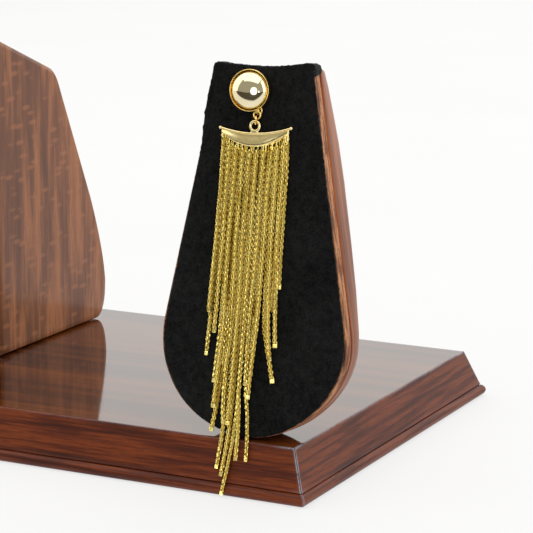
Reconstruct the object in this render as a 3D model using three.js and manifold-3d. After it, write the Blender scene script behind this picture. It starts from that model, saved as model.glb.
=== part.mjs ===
// Fringe dangle earring pinned on its wooden display stand, in millimetres, +Z up.
// Origin: centre of the stand's underside. The front faces -Y and +X is to the right.

import * as THREE from 'three';
import { mergeVertices } from 'three/addons/utils/BufferGeometryUtils.js';
import Module from 'manifold-3d';

const wasm = await Module();
wasm.setup();

// ---------------------------------------------------------------- driving dimensions

const GAP = 0.3;

const BASE = {
  length: 212,
  depth: 132,
  height: 16.1,
  bevel: 4.5,
  plinthHeight: 3.8,
  plinthLip: 1.5,
  glueLine: 0.2,
};

const PADDLE = {
  footX: 89.4,
  footY: -65,
  yaw: 4.5,
  lean: 7,
  aside: 0.1,
  roundRadius: 29.5,
  footRise: 0.8,
  flatRight: 0.025,
  flatLeft: -0.01,
  topHalfWidth: 15.5,
  topHeight: 110.2,
  topSag: 0.7,
  velvetTilt: 1.0,
  velvetThick: 1.2,
  velvetInset: 0.4,
  velvetReturn: 6.3,
  panelBack: 6,
  grooveWidth: 0.8,
  grooveDepth: 0.8,
  backRise: 1.0,
};

// How far the paddle board's back is behind the velvet's face, at heights up the board.
const BOARD_BACK = [
  { up: 0, back: 13.0 },
  { up: 30, back: 13.6 },
  { up: 46, back: 15.9 },
  { up: 60, back: 16.6 },
  { up: 78, back: 16.8 },
  { up: 90, back: 15.9 },
  { up: 99, back: 14.2 },
  { up: 106, back: 12.7 },
  { up: 112, back: 10.6 },
];

const UPRIGHT = {
  right: -31,
  width: 58,
  front: -12.5,
  footDepth: 63.5,
  bellyDepth: 69.5,
  bellyHeight: 13,
  shoulderDepth: 39.5,
  shoulderHeight: 89,
  crownDepth: 35,
  crownHeight: 94.5,
  topHeight: 108.5,
  edgeRound: 0.8,
  velvetThick: 1.2,
};

const STUD = {
  across: -3.1,
  up: 103.85,
  off: 0.4,
  plateRadius: 6.2,
  plateThick: 0.7,
  rimWidth: 0.25,
  rimRise: 1.6,
  domeRadius: 5.6,
  domeWall: 0.35,
  domeRise: 2.9,
  postRadius: 0.45,
  postLength: 10,
  postHole: 0.8,
  loopAcross: -0.5,
  loopUp: 96.7,
  loopRadius: 1.05,
  loopWire: 0.28,
};

const PENDANT_OFF = 1.75;

const JUMP_RING = { across: -0.75, off: 1.85, top: 96.45, bottom: 93.95, wire: 0.28 };

const CRESCENT = {
  across: -0.75,
  hornUp: 92.95,
  hornSpan: 22.3,
  tilt: 0.039,
  topMiddle: 91.25,
  bottomMiddle: 87.3,
  bottomHalfChord: 10.6,
  bottomChordUp: 91.4,
  thick: 0.8,
  rimRadius: 0.42,
  hornRadius: 0.62,
  loopAcross: -1.0,
  loopUp: 93.45,
  loopRadius: 1.42,
  loopWire: 0.45,
  neckHalfWidth: 1.9,
  neckRise: 1.1,
};

const CHAIN = { radius: 0.5, sides: 8, backLift: 0.95, frontLift: 2.3, stations: 9, steps: 14 };

// Each strand, from left to right. All values are millimetres: top, at60, at35 and at15 are its
// places across the paddle at its upper end and at those heights above the base's top, and tip and
// height are its free end. A strand that ends above a height has the tip's place there.
const STRANDS = [
  { layer: 'front', top: -11.2, at60: -11.8, at35: -13.1, at15: -13.1, tip: -13.1, height: 38.1 },
  { layer: 'back', top: -10.7, at60: -11.8, at35: -13.2, at15: -13.8, tip: -13.8, height: 25.1 },
  { layer: 'front', top: -9.2, at60: -9.9, at35: -10.9, at15: -11.1, tip: -11.1, height: 32.3 },
  { layer: 'back', top: -8.6, at60: -9.3, at35: -9.6, at15: -11.0, tip: -11.0, height: 17.1 },
  { layer: 'front', top: -7.0, at60: -7.7, at35: -8.1, at15: -9.5, tip: -10.1, height: 9.3 },
  { layer: 'back', top: -6.4, at60: -7.1, at35: -7.5, at15: -8.9, tip: -10.9, height: 2.6 },
  { layer: 'front', top: -4.8, at60: -5.5, at35: -6.0, at15: -7.0, tip: -6.6, height: 5.2 },
  { layer: 'back', top: -4.2, at60: -5.0, at35: -5.6, at15: -6.9, tip: -7.4, height: -7.7 },
  { layer: 'front', top: -2.6, at60: -3.4, at35: -3.8, at15: -4.8, tip: -5.2, height: 5.3 },
  { layer: 'back', top: -2.0, at60: -2.8, at35: -3.3, at15: -4.6, tip: -5.6, height: -10.1 },
  { layer: 'front', top: -0.4, at60: -1.1, at35: -1.6, at15: -2.1, tip: -0.9, height: -4.3 },
  { layer: 'back', top: 0.2, at60: -0.5, at35: -1.2, at15: -2.8, tip: -4.2, height: -14.7 },
  { layer: 'front', top: 1.8, at60: 1.1, at35: 0.0, at15: -0.2, tip: -0.2, height: 17.7 },
  { layer: 'back', top: 2.4, at60: 1.7, at35: 0.8, at15: -0.5, tip: 1.9, height: -5.2 },
  { layer: 'front', top: 3.9, at60: 3.3, at35: 2.7, at15: 0.8, tip: 0.8, height: 13.2 },
  { layer: 'back', top: 4.5, at60: 3.9, at35: 4.1, at15: 7.7, tip: 7.7, height: 18.6 },
  { layer: 'front', top: 6.0, at60: 5.5, at35: 6.0, at15: 7.2, tip: 7.2, height: 25.1 },
  { layer: 'back', top: 6.6, at60: 6.1, at35: 6.2, at15: 6.2, tip: 6.2, height: 39.5 },
  { layer: 'front', top: 8.1, at60: 7.6, at35: 8.3, at15: 8.6, tip: 8.6, height: 29.6 },
  { layer: 'back', top: 8.5, at60: 8.2, at35: 8.2, at15: 8.2, tip: 8.2, height: 46.4 },
];

// ------------------------------------------------------------------------- materials

const FINISHES = {
  baseTop: { color: 0x4a2418, roughness: 0.08, metalness: 0 },
  baseEdge: { color: 0x5a3524, roughness: 0.45, metalness: 0 },
  boardWood: { color: 0x8a4a26, roughness: 0.25, metalness: 0 },
  velvet: { color: 0x121212, roughness: 1, metalness: 0 },
  paleGold: { color: 0xd8c184, roughness: 0.12, metalness: 1 },
  yellowGold: { color: 0xe3b23c, roughness: 0.22, metalness: 1 },
};

// --------------------------------------------------------------------------- helpers

const radians = THREE.MathUtils.degToRad;

/** A named mesh in one of the finishes. */
function piece(name, geometry, finish) {
  const mesh = new THREE.Mesh(geometry, new THREE.MeshStandardMaterial(FINISHES[finish]));
  mesh.name = name;
  return mesh;
}

/** The geometry with only positions, and its shared corners merged. */
function merged(geometry) {
  const bare = geometry.clone();
  for (const attribute of ['normal', 'uv']) {
    bare.deleteAttribute(attribute);
  }
  return mergeVertices(bare, 1e-4);
}

/** A closed geometry as a solid that can be joined and cut. */
function solid(geometry) {
  const closed = merged(geometry);
  return new wasm.Manifold(new wasm.Mesh({
    numProp: 3,
    vertProperties: new Float32Array(closed.attributes.position.array),
    triVerts: new Uint32Array(closed.index.array),
  }));
}

/** A solid's surface as a geometry. */
function surface(body) {
  const mesh = body.getMesh();
  const geometry = new THREE.BufferGeometry();
  geometry.setAttribute('position', new THREE.BufferAttribute(mesh.vertProperties, 3));
  geometry.setIndex(new THREE.BufferAttribute(mesh.triVerts, 1));
  return geometry;
}

/**
 * Skins over closed loops that have the same number of points, and caps the first and last.
 * The loops run anticlockwise as seen from the side that the last one faces.
 */
function loft(loops) {
  const count = loops[0].length;
  const points = loops.flat().flatMap((point) => point.toArray());
  const faces = [];
  for (let ring = 0; ring + 1 < loops.length; ring += 1) {
    for (let i = 0; i < count; i += 1) {
      const a = ring * count + i;
      const b = ring * count + (i + 1) % count;
      faces.push(a, b, a + count, b, b + count, a + count);
    }
  }
  const last = (loops.length - 1) * count;
  for (let i = 1; i + 1 < count; i += 1) {
    faces.push(0, i + 1, i);
    faces.push(last, last + i, last + i + 1);
  }
  const geometry = new THREE.BufferGeometry();
  geometry.setAttribute('position', new THREE.Float32BufferAttribute(points, 3));
  geometry.setIndex(faces);
  return geometry;
}

/** A lathe profile of [radius, height] pairs turned about Y, then laid with its axis along -Y. */
function turned(profile, segments) {
  const geometry = new THREE.LatheGeometry(profile.map(([r, h]) => new THREE.Vector2(r, h)), segments);
  return geometry.rotateZ(Math.PI);
}

/** A round bar of the given section along a curve. */
function bar(curve, radius, sides, steps) {
  const section = new THREE.Shape();
  section.absarc(0, 0, radius, 0, Math.PI * 2);
  return new THREE.ExtrudeGeometry(section, { extrudePath: curve, steps, curveSegments: sides / 2 });
}

/** Removes everything of a solid in a turned group that is lower than a height in the row frame. */
function cutBelow(body, group, height) {
  const room = 400;
  const below = new THREE.BoxGeometry(room, room, room).translate(0, 0, height - room / 2);
  group.updateMatrixWorld(true);
  return body.subtract(solid(below.applyMatrix4(group.matrixWorld.clone().invert())));
}

// ------------------------------------------------------------------------------ base

/** A level rectangle with cut corners, as a loop of eight points. */
function rectangle(length, depth, corner, height) {
  const x = length / 2;
  const y = depth / 2;
  const corners = [
    [x - corner, -y], [x, corner - y], [x, y - corner], [x - corner, y],
    [corner - x, y], [-x, y - corner], [-x, corner - y], [corner - x, -y],
  ];
  return corners.map(([px, py]) => new THREE.Vector3(px, py, height));
}

/** The veneered board, whose four edges slope outwards to its underside. */
function baseBoard() {
  const foot = BASE.plinthHeight + BASE.glueLine;
  const outline = (grow, height) => rectangle(BASE.length + 2 * grow, BASE.depth + 2 * grow, 0.4, height);
  return loft([outline(BASE.bevel, foot), outline(0, BASE.height)]);
}

/** The thin board under it, with a half-round edge that stands out as a lip. */
function basePlinth() {
  const half = BASE.plinthHeight / 2;
  const inner = BASE.bevel + BASE.plinthLip - half;
  const loops = [];
  for (let step = 0; step <= 6; step += 1) {
    const angle = -Math.PI / 2 + Math.PI * step / 6;
    const grow = inner + half * Math.cos(angle);
    const height = half + half * Math.sin(angle);
    loops.push(rectangle(BASE.length + 2 * grow, BASE.depth + 2 * grow, 1, height));
  }
  return loft(loops);
}

// ---------------------------------------------------------------------------- paddle

/** A table's value at a height, on straight runs between its rows. */
function alongTable(rows, key, height) {
  const next = rows.findIndex((row) => row.up >= height);
  if (next <= 0) {
    return rows[next === 0 ? 0 : rows.length - 1][key];
  }
  const [low, high] = [rows[next - 1], rows[next]];
  return THREE.MathUtils.mapLinear(height, low.up, high.up, low[key], high[key]);
}

/** How far the board's back is behind the velvet's face. */
function boardBack(height) {
  return alongTable(BOARD_BACK, 'back', height);
}

/** Half the paddle's width above its round foot: straight sides that taper to the top corners. */
function paddleSide(height) {
  const r = PADDLE.roundRadius;
  const taper = Math.asin((r - PADDLE.topHalfWidth) / (PADDLE.topHeight - r));
  const joinHeight = r + r * Math.sin(taper);
  const share = (height - joinHeight) / (PADDLE.topHeight - joinHeight);
  return THREE.MathUtils.lerp(r * Math.cos(taper), PADDLE.topHalfWidth, share);
}

/** The round foot at an angle below its widest place, with its lower corner a little flattened. */
function paddleFoot(angle, flat) {
  const reach = PADDLE.roundRadius * (1 - flat * Math.sin(2 * angle) ** 2);
  const lift = PADDLE.footRise * Math.sin(angle);
  return [reach * Math.cos(angle), PADDLE.roundRadius - reach * Math.sin(angle) + lift];
}

/** One half of the paddle's outline from its foot to its top edge, as [across, up] pairs. */
function paddleHalf(flat, top, tilt) {
  const half = [];
  const roundSteps = 14;
  for (let i = 0; i <= roundSteps; i += 1) {
    half.push(paddleFoot(Math.PI / 2 * (1 - i / roundSteps), flat));
  }
  for (const height of [36, 50, 66, 82, 96, PADDLE.topHeight - 1.5]) {
    half.push([paddleSide(height), height]);
  }
  half.push([PADDLE.topHalfWidth - 0.5, top - 0.3 + tilt]);
  half.push([PADDLE.topHalfWidth - 1.6, top + 0.9 * tilt]);
  half.push([PADDLE.topHalfWidth / 2, top - 0.7 * PADDLE.topSag + 0.4 * tilt]);
  return half;
}

/**
 * The paddle's outline as [across, up] pairs, anticlockwise from its foot, pulled in by inset,
 * with its top edge raised by topRise and its right end raised further by tilt.
 */
function paddleOutline(inset, topRise = 0, tilt = 0) {
  const top = PADDLE.topHeight + topRise;
  const right = paddleHalf(PADDLE.flatRight, top, tilt);
  const left = paddleHalf(PADDLE.flatLeft, top, 0).slice(1).reverse()
    .map(([across, up]) => [-across, up]);
  const centre = PADDLE.topHeight / 2;
  return [...right, [0, top - PADDLE.topSag], ...left].map(([across, up]) => [
    PADDLE.aside + across * (1 - inset / PADDLE.roundRadius),
    up + inset * (centre - up) / centre,
  ]);
}

/** The wooden board: a front panel and a thicker back, with a groove all round between them. */
function paddleBoard(group) {
  const front = PADDLE.velvetThick + GAP;
  const grooveFront = PADDLE.panelBack;
  const grooveBack = PADDLE.panelBack + PADDLE.grooveWidth;
  const flat = (inset, depth, rise = 0) => paddleOutline(inset, rise)
    .map(([u, v]) => new THREE.Vector3(u, depth, v));
  const back = (inset, thinner) => paddleOutline(inset, PADDLE.backRise)
    .map(([u, v]) => new THREE.Vector3(u, boardBack(v) - thinner, v));
  const board = loft([
    back(0.9, 0),
    back(0.1, 0.9),
    flat(0, grooveBack, PADDLE.backRise),
    flat(PADDLE.grooveDepth, grooveBack - 0.1, PADDLE.backRise),
    flat(PADDLE.grooveDepth, grooveFront + 0.1),
    flat(0, grooveFront),
    flat(0, front + 0.5),
    flat(0.4, front),
  ]);
  const hole = new THREE.CylinderGeometry(STUD.postHole, STUD.postHole, STUD.postLength, 20)
    .translate(STUD.across, STUD.postLength / 2 + 0.6, STUD.up);
  return surface(cutBelow(solid(board).subtract(solid(hole)), group, BASE.height + GAP));
}

/** The velvet's lap over the paddle's top edge, as a strip of across and up. */
function velvetStrip() {
  const half = PADDLE.topHalfWidth - 0.8;
  const edge = (margin) => [-1, -0.5, 0, 0.25, 0.5, 0.75, 1].map((u) => new THREE.Vector2(
    PADDLE.aside + half * u,
    PADDLE.topHeight + margin - PADDLE.topSag * (1 - u * u) + PADDLE.velvetTilt * Math.max(u, 0) ** 1.3));
  return new THREE.Shape([...edge(GAP), ...edge(GAP + PADDLE.velvetThick).reverse()]);
}

/** A flat shape of across and up, carried into the board from one depth to another. */
function carried(shape, from, to) {
  return new THREE.ExtrudeGeometry(shape, { depth: to - from, bevelEnabled: false })
    .rotateX(Math.PI / 2).translate(0, to, 0);
}

/** The velvet: a sheet over the front that laps over the paddle's top edge. */
function paddleVelvet(group) {
  const thick = PADDLE.velvetThick;
  const inset = PADDLE.velvetInset;
  const rise = GAP + thick + inset;
  const flat = (drawn, depth) => paddleOutline(drawn, rise, PADDLE.velvetTilt)
    .map(([u, v]) => new THREE.Vector3(u, depth, v));
  const sheet = loft([flat(inset, thick), flat(inset, 0.4), flat(inset + 0.4, 0)]);
  const lap = solid(carried(velvetStrip(), 0.5, PADDLE.velvetReturn));
  const hole = new THREE.CylinderGeometry(STUD.postHole, STUD.postHole, 8, 20)
    .translate(STUD.across, 0, STUD.up);
  const whole = solid(sheet).add(lap).subtract(solid(hole));
  return surface(cutBelow(whole, group, BASE.height + GAP));
}

// --------------------------------------------------------------------------- upright

/** The side of the deep upright, as a shape in depth behind its front face and height. */
function uprightSide() {
  const side = new THREE.Shape();
  side.moveTo(0, 0);
  side.lineTo(UPRIGHT.footDepth, 0);
  side.quadraticCurveTo(UPRIGHT.bellyDepth, 1, UPRIGHT.bellyDepth, UPRIGHT.bellyHeight);
  side.quadraticCurveTo(UPRIGHT.bellyDepth - 1.2, 25, 60, 45);
  side.lineTo(UPRIGHT.shoulderDepth, UPRIGHT.shoulderHeight);
  side.quadraticCurveTo(38, 92.5, UPRIGHT.crownDepth, UPRIGHT.crownHeight);
  side.lineTo(0, UPRIGHT.topHeight);
  side.closePath();
  return side;
}

/** The deep upright's block: that side carried across its width, with softened edges. */
function uprightBlock() {
  const round = UPRIGHT.edgeRound;
  const geometry = new THREE.ExtrudeGeometry(uprightSide(), {
    depth: UPRIGHT.width - 2 * round,
    bevelEnabled: true,
    bevelThickness: round,
    bevelSize: round,
    bevelOffset: -round,
    bevelSegments: 2,
    curveSegments: 6,
  });
  // The shape's axes are depth (+Y) and height (+Z), and the extrusion runs along +X.
  geometry.applyMatrix4(new THREE.Matrix4().makeBasis(
    new THREE.Vector3(0, 1, 0), new THREE.Vector3(0, 0, 1), new THREE.Vector3(1, 0, 0)));
  return geometry.translate(UPRIGHT.right - UPRIGHT.width + round, UPRIGHT.front, BASE.height + GAP);
}

/** The velvet on the deep upright's front face. */
function uprightVelvet() {
  const height = UPRIGHT.topHeight - 1.6;
  return new THREE.BoxGeometry(UPRIGHT.width - 1.6, UPRIGHT.velvetThick, height).translate(
    UPRIGHT.right - UPRIGHT.width / 2,
    UPRIGHT.front - GAP - UPRIGHT.velvetThick / 2,
    BASE.height + GAP + 0.8 + height / 2);
}

// --------------------------------------------------------------------------- earring

/** A wire ring about a hole that faces the viewer. */
function ring(radius, wire, sides, segments) {
  return new THREE.TorusGeometry(radius, wire, sides, segments).rotateX(Math.PI / 2);
}

/** The stud's dished plate with its post behind it and the drop's loop soldered below it. */
function studPlate() {
  const back = STUD.off;
  const front = back + STUD.plateThick;
  const rim = STUD.plateRadius - STUD.rimWidth;
  const plate = turned([
    [0, -STUD.postLength], [STUD.postRadius, 0.5 - STUD.postLength], [STUD.postRadius, back],
    [STUD.plateRadius - 0.2, back], [STUD.plateRadius, back + 0.3],
    [STUD.plateRadius, front + STUD.rimRise], [rim, front + STUD.rimRise], [rim, front], [0, front],
  ], 32).translate(STUD.across, 0, STUD.up);
  const loop = ring(STUD.loopRadius, STUD.loopWire, 8, 18)
    .translate(STUD.loopAcross, -PENDANT_OFF, STUD.loopUp);
  const neckFoot = STUD.loopUp + STUD.loopRadius;
  const neckTop = STUD.up - Math.sqrt(STUD.plateRadius ** 2 - (STUD.across - STUD.loopAcross) ** 2) + 0.4;
  const neck = new THREE.BoxGeometry(1.1, PENDANT_OFF - back, neckTop - neckFoot + 0.2).translate(
    STUD.loopAcross, -(PENDANT_OFF + back) / 2, (neckTop + neckFoot) / 2);
  return surface(solid(plate).add(solid(neck)).add(solid(loop)));
}

/** The stud's polished dome: a low wall, then a quarter ellipse up to its crown. */
function studDome() {
  const foot = STUD.off + STUD.plateThick + GAP;
  const shoulder = foot + STUD.domeWall;
  const profile = [[0, foot], [STUD.domeRadius, foot]];
  const rings = 6;
  for (let step = 0; step <= rings; step += 1) {
    const angle = Math.PI / 2 * step / rings;
    const radius = step === rings ? 0 : STUD.domeRadius * Math.cos(angle);
    profile.push([radius, shoulder + STUD.domeRise * Math.sin(angle)]);
  }
  return turned(profile, 32).translate(STUD.across, 0, STUD.up);
}

/** The open jump ring, edge on to the viewer, that joins the stud's loop to the crescent's. */
function jumpRing() {
  const radius = (JUMP_RING.top - JUMP_RING.bottom) / 2;
  return new THREE.TorusGeometry(radius, JUMP_RING.wire, 8, 22).rotateY(Math.PI / 2)
    .translate(JUMP_RING.across, -JUMP_RING.off, (JUMP_RING.top + JUMP_RING.bottom) / 2);
}

/** A point on the crescent's upper arc, from -1 at the left horn to 1 at the right one. */
function crescentTop(share) {
  const half = CRESCENT.hornSpan / 2;
  const sag = CRESCENT.hornUp - CRESCENT.topMiddle;
  const radius = (half * half + sag * sag) / (2 * sag);
  const angle = Math.asin(half / radius) * share;
  const side = radius * Math.sin(angle);
  return [
    CRESCENT.across + side,
    CRESCENT.topMiddle + radius * (1 - Math.cos(angle)) + CRESCENT.tilt * side,
  ];
}

/** The height of the crescent's lower arc at a place across it. */
function crescentBottom(across) {
  const half = CRESCENT.bottomHalfChord;
  const sag = CRESCENT.bottomChordUp - CRESCENT.bottomMiddle;
  const radius = (half * half + sag * sag) / (2 * sag);
  const side = THREE.MathUtils.clamp(across - CRESCENT.across, -half, half);
  return CRESCENT.bottomMiddle + radius - Math.sqrt(radius * radius - side * side) + CRESCENT.tilt * side;
}

/** The crescent: a plate between two arcs, with a rim, round horn ends and a soldered top loop. */
function crescentBar() {
  const steps = 16;
  const outline = new THREE.Shape();
  const half = CRESCENT.bottomHalfChord;
  for (let i = 0; i <= steps; i += 1) {
    const across = CRESCENT.across + half * (2 * i / steps - 1);
    outline[i === 0 ? 'moveTo' : 'lineTo'](across, crescentBottom(across));
  }
  for (let i = 0; i <= steps; i += 1) {
    outline.lineTo(...crescentTop(1 - 2 * i / steps));
  }
  const plate = new THREE.ExtrudeGeometry(outline, { depth: CRESCENT.thick, bevelEnabled: false })
    .rotateX(Math.PI / 2).translate(0, CRESCENT.thick / 2 - PENDANT_OFF, 0);

  const rimPoints = [];
  for (let i = 0; i <= 8; i += 1) {
    const [across, up] = crescentTop(i / 4 - 1);
    rimPoints.push(new THREE.Vector3(across, -PENDANT_OFF, up));
  }
  const rim = bar(new THREE.CatmullRomCurve3(rimPoints), CRESCENT.rimRadius, 8, 16);

  const neck = new THREE.Shape();
  const neckUp = CRESCENT.topMiddle + CRESCENT.neckRise;
  neck.moveTo(CRESCENT.loopAcross - CRESCENT.neckHalfWidth, CRESCENT.topMiddle);
  neck.lineTo(CRESCENT.loopAcross + CRESCENT.neckHalfWidth, CRESCENT.topMiddle);
  neck.lineTo(CRESCENT.loopAcross + 1.1, neckUp);
  neck.lineTo(CRESCENT.loopAcross - 1.1, neckUp);
  const foot = new THREE.ExtrudeGeometry(neck, { depth: CRESCENT.thick, bevelEnabled: false })
    .rotateX(Math.PI / 2).translate(0, CRESCENT.thick / 2 - PENDANT_OFF, 0);

  let whole = solid(plate).add(solid(rim)).add(solid(foot)).add(
    solid(ring(CRESCENT.loopRadius, CRESCENT.loopWire, 8, 22)
      .translate(CRESCENT.loopAcross, -PENDANT_OFF, CRESCENT.loopUp)));
  const openHole = new THREE.CylinderGeometry(0.95, 0.95, 3, 24)
    .translate(CRESCENT.loopAcross, -PENDANT_OFF, CRESCENT.loopUp);
  whole = whole.subtract(solid(openHole));
  for (const end of [-1, 1]) {
    const [across, up] = crescentTop(end);
    const knob = new THREE.SphereGeometry(CRESCENT.hornRadius, 12, 8).translate(across, -PENDANT_OFF, up);
    whole = whole.add(solid(knob));
  }
  return surface(whole);
}

// ----------------------------------------------------------------------------- chains

/** Where a strand's centre lies in the row frame, for its place across, height and lift. */
function drape(across, height, lift) {
  const lean = Math.tan(radians(PADDLE.lean));
  const slope = BASE.bevel / (BASE.height - BASE.plinthHeight - BASE.glueLine);
  const edge = -BASE.depth / 2;
  const onVelvet = PADDLE.footY + across * Math.sin(radians(PADDLE.yaw)) + height * lean
    - lift / Math.cos(radians(PADDLE.lean));
  const onBevel = edge + height * slope - lift / Math.cos(Math.atan(slope));
  const lipHeight = BASE.plinthHeight - BASE.height + 1;
  const onLip = height < lipHeight ? edge - BASE.bevel - BASE.plinthLip - lift : 0;
  return new THREE.Vector3(
    PADDLE.footX + across * Math.cos(radians(PADDLE.yaw)),
    Math.min(onVelvet, onBevel, onLip),
    BASE.height + height);
}

/** A strand's place across the paddle at a height, on straight runs between its named stations. */
function acrossAt(strand, top, height) {
  const stations = [[top, strand.top], [60, strand.at60]];
  for (const [level, place] of [[35, strand.at35], [15, strand.at15]]) {
    if (strand.height < level) {
      stations.push([level, place]);
    }
  }
  stations.push([strand.height, strand.tip]);
  const below = stations.findIndex(([level]) => level <= height);
  if (below <= 0) {
    return strand.top;
  }
  const [upLevel, upPlace] = stations[below - 1];
  const [lowLevel, lowPlace] = stations[below];
  return THREE.MathUtils.mapLinear(height, upLevel, lowLevel, upPlace, lowPlace);
}

/** One strand of fine chain as a tube along its route, from the crescent to its free end. */
function chainStrand(strand) {
  const lift = strand.layer === 'back' ? CHAIN.backLift : CHAIN.frontLift;
  const top = (crescentBottom(strand.top) - 0.5) * Math.cos(radians(PADDLE.lean)) - CHAIN.radius;
  const points = [];
  for (let i = 0; i <= CHAIN.stations; i += 1) {
    const height = THREE.MathUtils.lerp(top, strand.height, i / CHAIN.stations);
    points.push(drape(acrossAt(strand, top, height), height, lift));
  }
  return bar(new THREE.CatmullRomCurve3(points, false, 'centripetal'), CHAIN.radius, CHAIN.sides,
    CHAIN.steps);
}

// --------------------------------------------------------------------------- assembly

const stand = new THREE.Group();
stand.add(piece('base_board', baseBoard(), 'baseEdge'));
stand.add(piece('base_plinth', basePlinth(), 'baseEdge'));
stand.add(piece('upright_block', uprightBlock(), 'boardWood'));
stand.add(piece('upright_velvet', uprightVelvet(), 'velvet'));

// The paddle's own frame: X across it, Y into the board from the velvet's face, Z up along it.
const paddle = new THREE.Group();
paddle.position.set(PADDLE.footX, PADDLE.footY, BASE.height);
paddle.rotation.set(radians(-PADDLE.lean), 0, radians(PADDLE.yaw), 'ZYX');
paddle.add(piece('paddle_board', paddleBoard(paddle), 'boardWood'));
paddle.add(piece('paddle_velvet', paddleVelvet(paddle), 'velvet'));
paddle.add(piece('stud_plate', studPlate(), 'yellowGold'));
paddle.add(piece('stud_dome', studDome(), 'paleGold'));
paddle.add(piece('jump_ring', jumpRing(), 'yellowGold'));
paddle.add(piece('crescent_bar', crescentBar(), 'paleGold'));

const earringOnStand = new THREE.Group();
earringOnStand.add(stand, paddle);
STRANDS.forEach((strand, index) => {
  const name = `chain_${String(index + 1).padStart(2, '0')}`;
  earringOnStand.add(piece(name, chainStrand(strand), 'yellowGold'));
});

export default earringOnStand;
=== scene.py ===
"""Fringe dangle earring pinned on its wooden display stand.

Everything is made in the stand's own frame: +Z up, the velvet facing -Y, +X to the right, and the
origin at the middle of the stand's underside. Shapes are worked out in millimetres and become
metres when they are put into a mesh.
"""

import logging
import math
from collections.abc import Sequence
from dataclasses import dataclass, field
from enum import Enum

import bpy
import bmesh
import numpy as np
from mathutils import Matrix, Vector


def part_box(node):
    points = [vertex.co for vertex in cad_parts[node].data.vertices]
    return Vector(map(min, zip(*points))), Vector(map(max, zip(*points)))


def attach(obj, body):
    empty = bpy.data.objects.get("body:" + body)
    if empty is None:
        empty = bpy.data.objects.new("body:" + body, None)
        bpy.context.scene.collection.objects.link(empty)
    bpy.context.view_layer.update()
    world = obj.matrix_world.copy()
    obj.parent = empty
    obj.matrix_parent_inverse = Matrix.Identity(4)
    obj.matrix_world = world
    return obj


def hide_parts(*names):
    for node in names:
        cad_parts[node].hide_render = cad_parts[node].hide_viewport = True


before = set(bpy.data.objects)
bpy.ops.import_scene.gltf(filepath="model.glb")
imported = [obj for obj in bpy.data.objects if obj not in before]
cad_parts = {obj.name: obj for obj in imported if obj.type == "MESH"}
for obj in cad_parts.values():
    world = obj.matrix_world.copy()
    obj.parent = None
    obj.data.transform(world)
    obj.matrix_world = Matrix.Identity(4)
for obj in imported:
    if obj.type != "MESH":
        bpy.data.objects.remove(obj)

LOG = logging.getLogger("earring")
MM = 0.001
BODY = "root"

Socket = bpy.types.NodeSocket
Colour = tuple[float, float, float]


# ------------------------------------------------------------------------------ surfaces


class Wrap(Enum):
    """Which ways a grid of points closes on itself."""

    OPEN = (False, False)
    AROUND = (False, True)
    BOTH = (True, True)


def unit(vectors: np.ndarray) -> np.ndarray:
    """Vectors over their own lengths, along the last axis."""
    return vectors / np.maximum(np.linalg.norm(vectors, axis=-1, keepdims=True), 1e-12)


def swung(first: np.ndarray, second: np.ndarray, angle: np.ndarray) -> tuple[np.ndarray, np.ndarray]:
    """Two axes turned in their own plane: a cos q + b sin q and b cos q - a sin q."""
    cos, sin = np.cos(angle), np.sin(angle)
    return first * cos + second * sin, second * cos - first * sin


def bent(start: Sequence, pull: Sequence, end: Sequence, t: np.ndarray) -> np.ndarray:
    """Points of the curve from start to end drawn towards pull: (1-t)^2 a + 2t(1-t) b + t^2 c."""
    a, b, c = (np.asarray(point, float) for point in (start, pull, end))
    return (1 - t) ** 2 * a + 2 * t * (1 - t) * b + t**2 * c


def smooth_step(values: np.ndarray, low: float, high: float) -> np.ndarray:
    """Rises from 0 at low to 1 at high as 3t^2 - 2t^3."""
    t = np.clip((values - low) / (high - low), 0, 1)
    return t * t * (3 - 2 * t)


def grid_quads(rows: int, cols: int, wrap: Wrap) -> np.ndarray:
    """Numbers the four corners of every cell of a grid.

    Args:
        rows: how many rows of points there are.
        cols: how many points each row has.
        wrap: which ways the last row or column joins the first.

    Returns:
        An array of cells by 4 point numbers, where point (i, j) is number i * cols + j.
    """
    wrap_rows, wrap_cols = wrap.value
    i, j = np.meshgrid(
        np.arange(rows if wrap_rows else rows - 1),
        np.arange(cols if wrap_cols else cols - 1),
        indexing="ij",
    )
    down, over = (i + 1) % rows, (j + 1) % cols
    cells = np.stack([i * cols + j, i * cols + over, down * cols + over, down * cols + j], -1)
    return cells.reshape(-1, 4)


def run_length(points: np.ndarray, axis: int) -> np.ndarray:
    """Length run so far along one axis of a grid of points, starting from 0."""
    steps = np.linalg.norm(np.diff(points, axis=axis), axis=-1)
    start = np.zeros_like(np.take(steps, [0], axis=axis))
    return np.concatenate([start, np.cumsum(steps, axis=axis)], axis=axis)


def signed_volume(points: np.ndarray, quads: np.ndarray) -> float:
    """Sum over the cells of a . (b x c) / 6, halved into two triangles each: positive if outward."""
    a, b, c, d = (points[quads[:, k]] for k in range(4))
    first = np.einsum("ij,ij->i", a, np.cross(b, c))
    second = np.einsum("ij,ij->i", a, np.cross(c, d))
    return float((first + second).sum() / 6)


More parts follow.
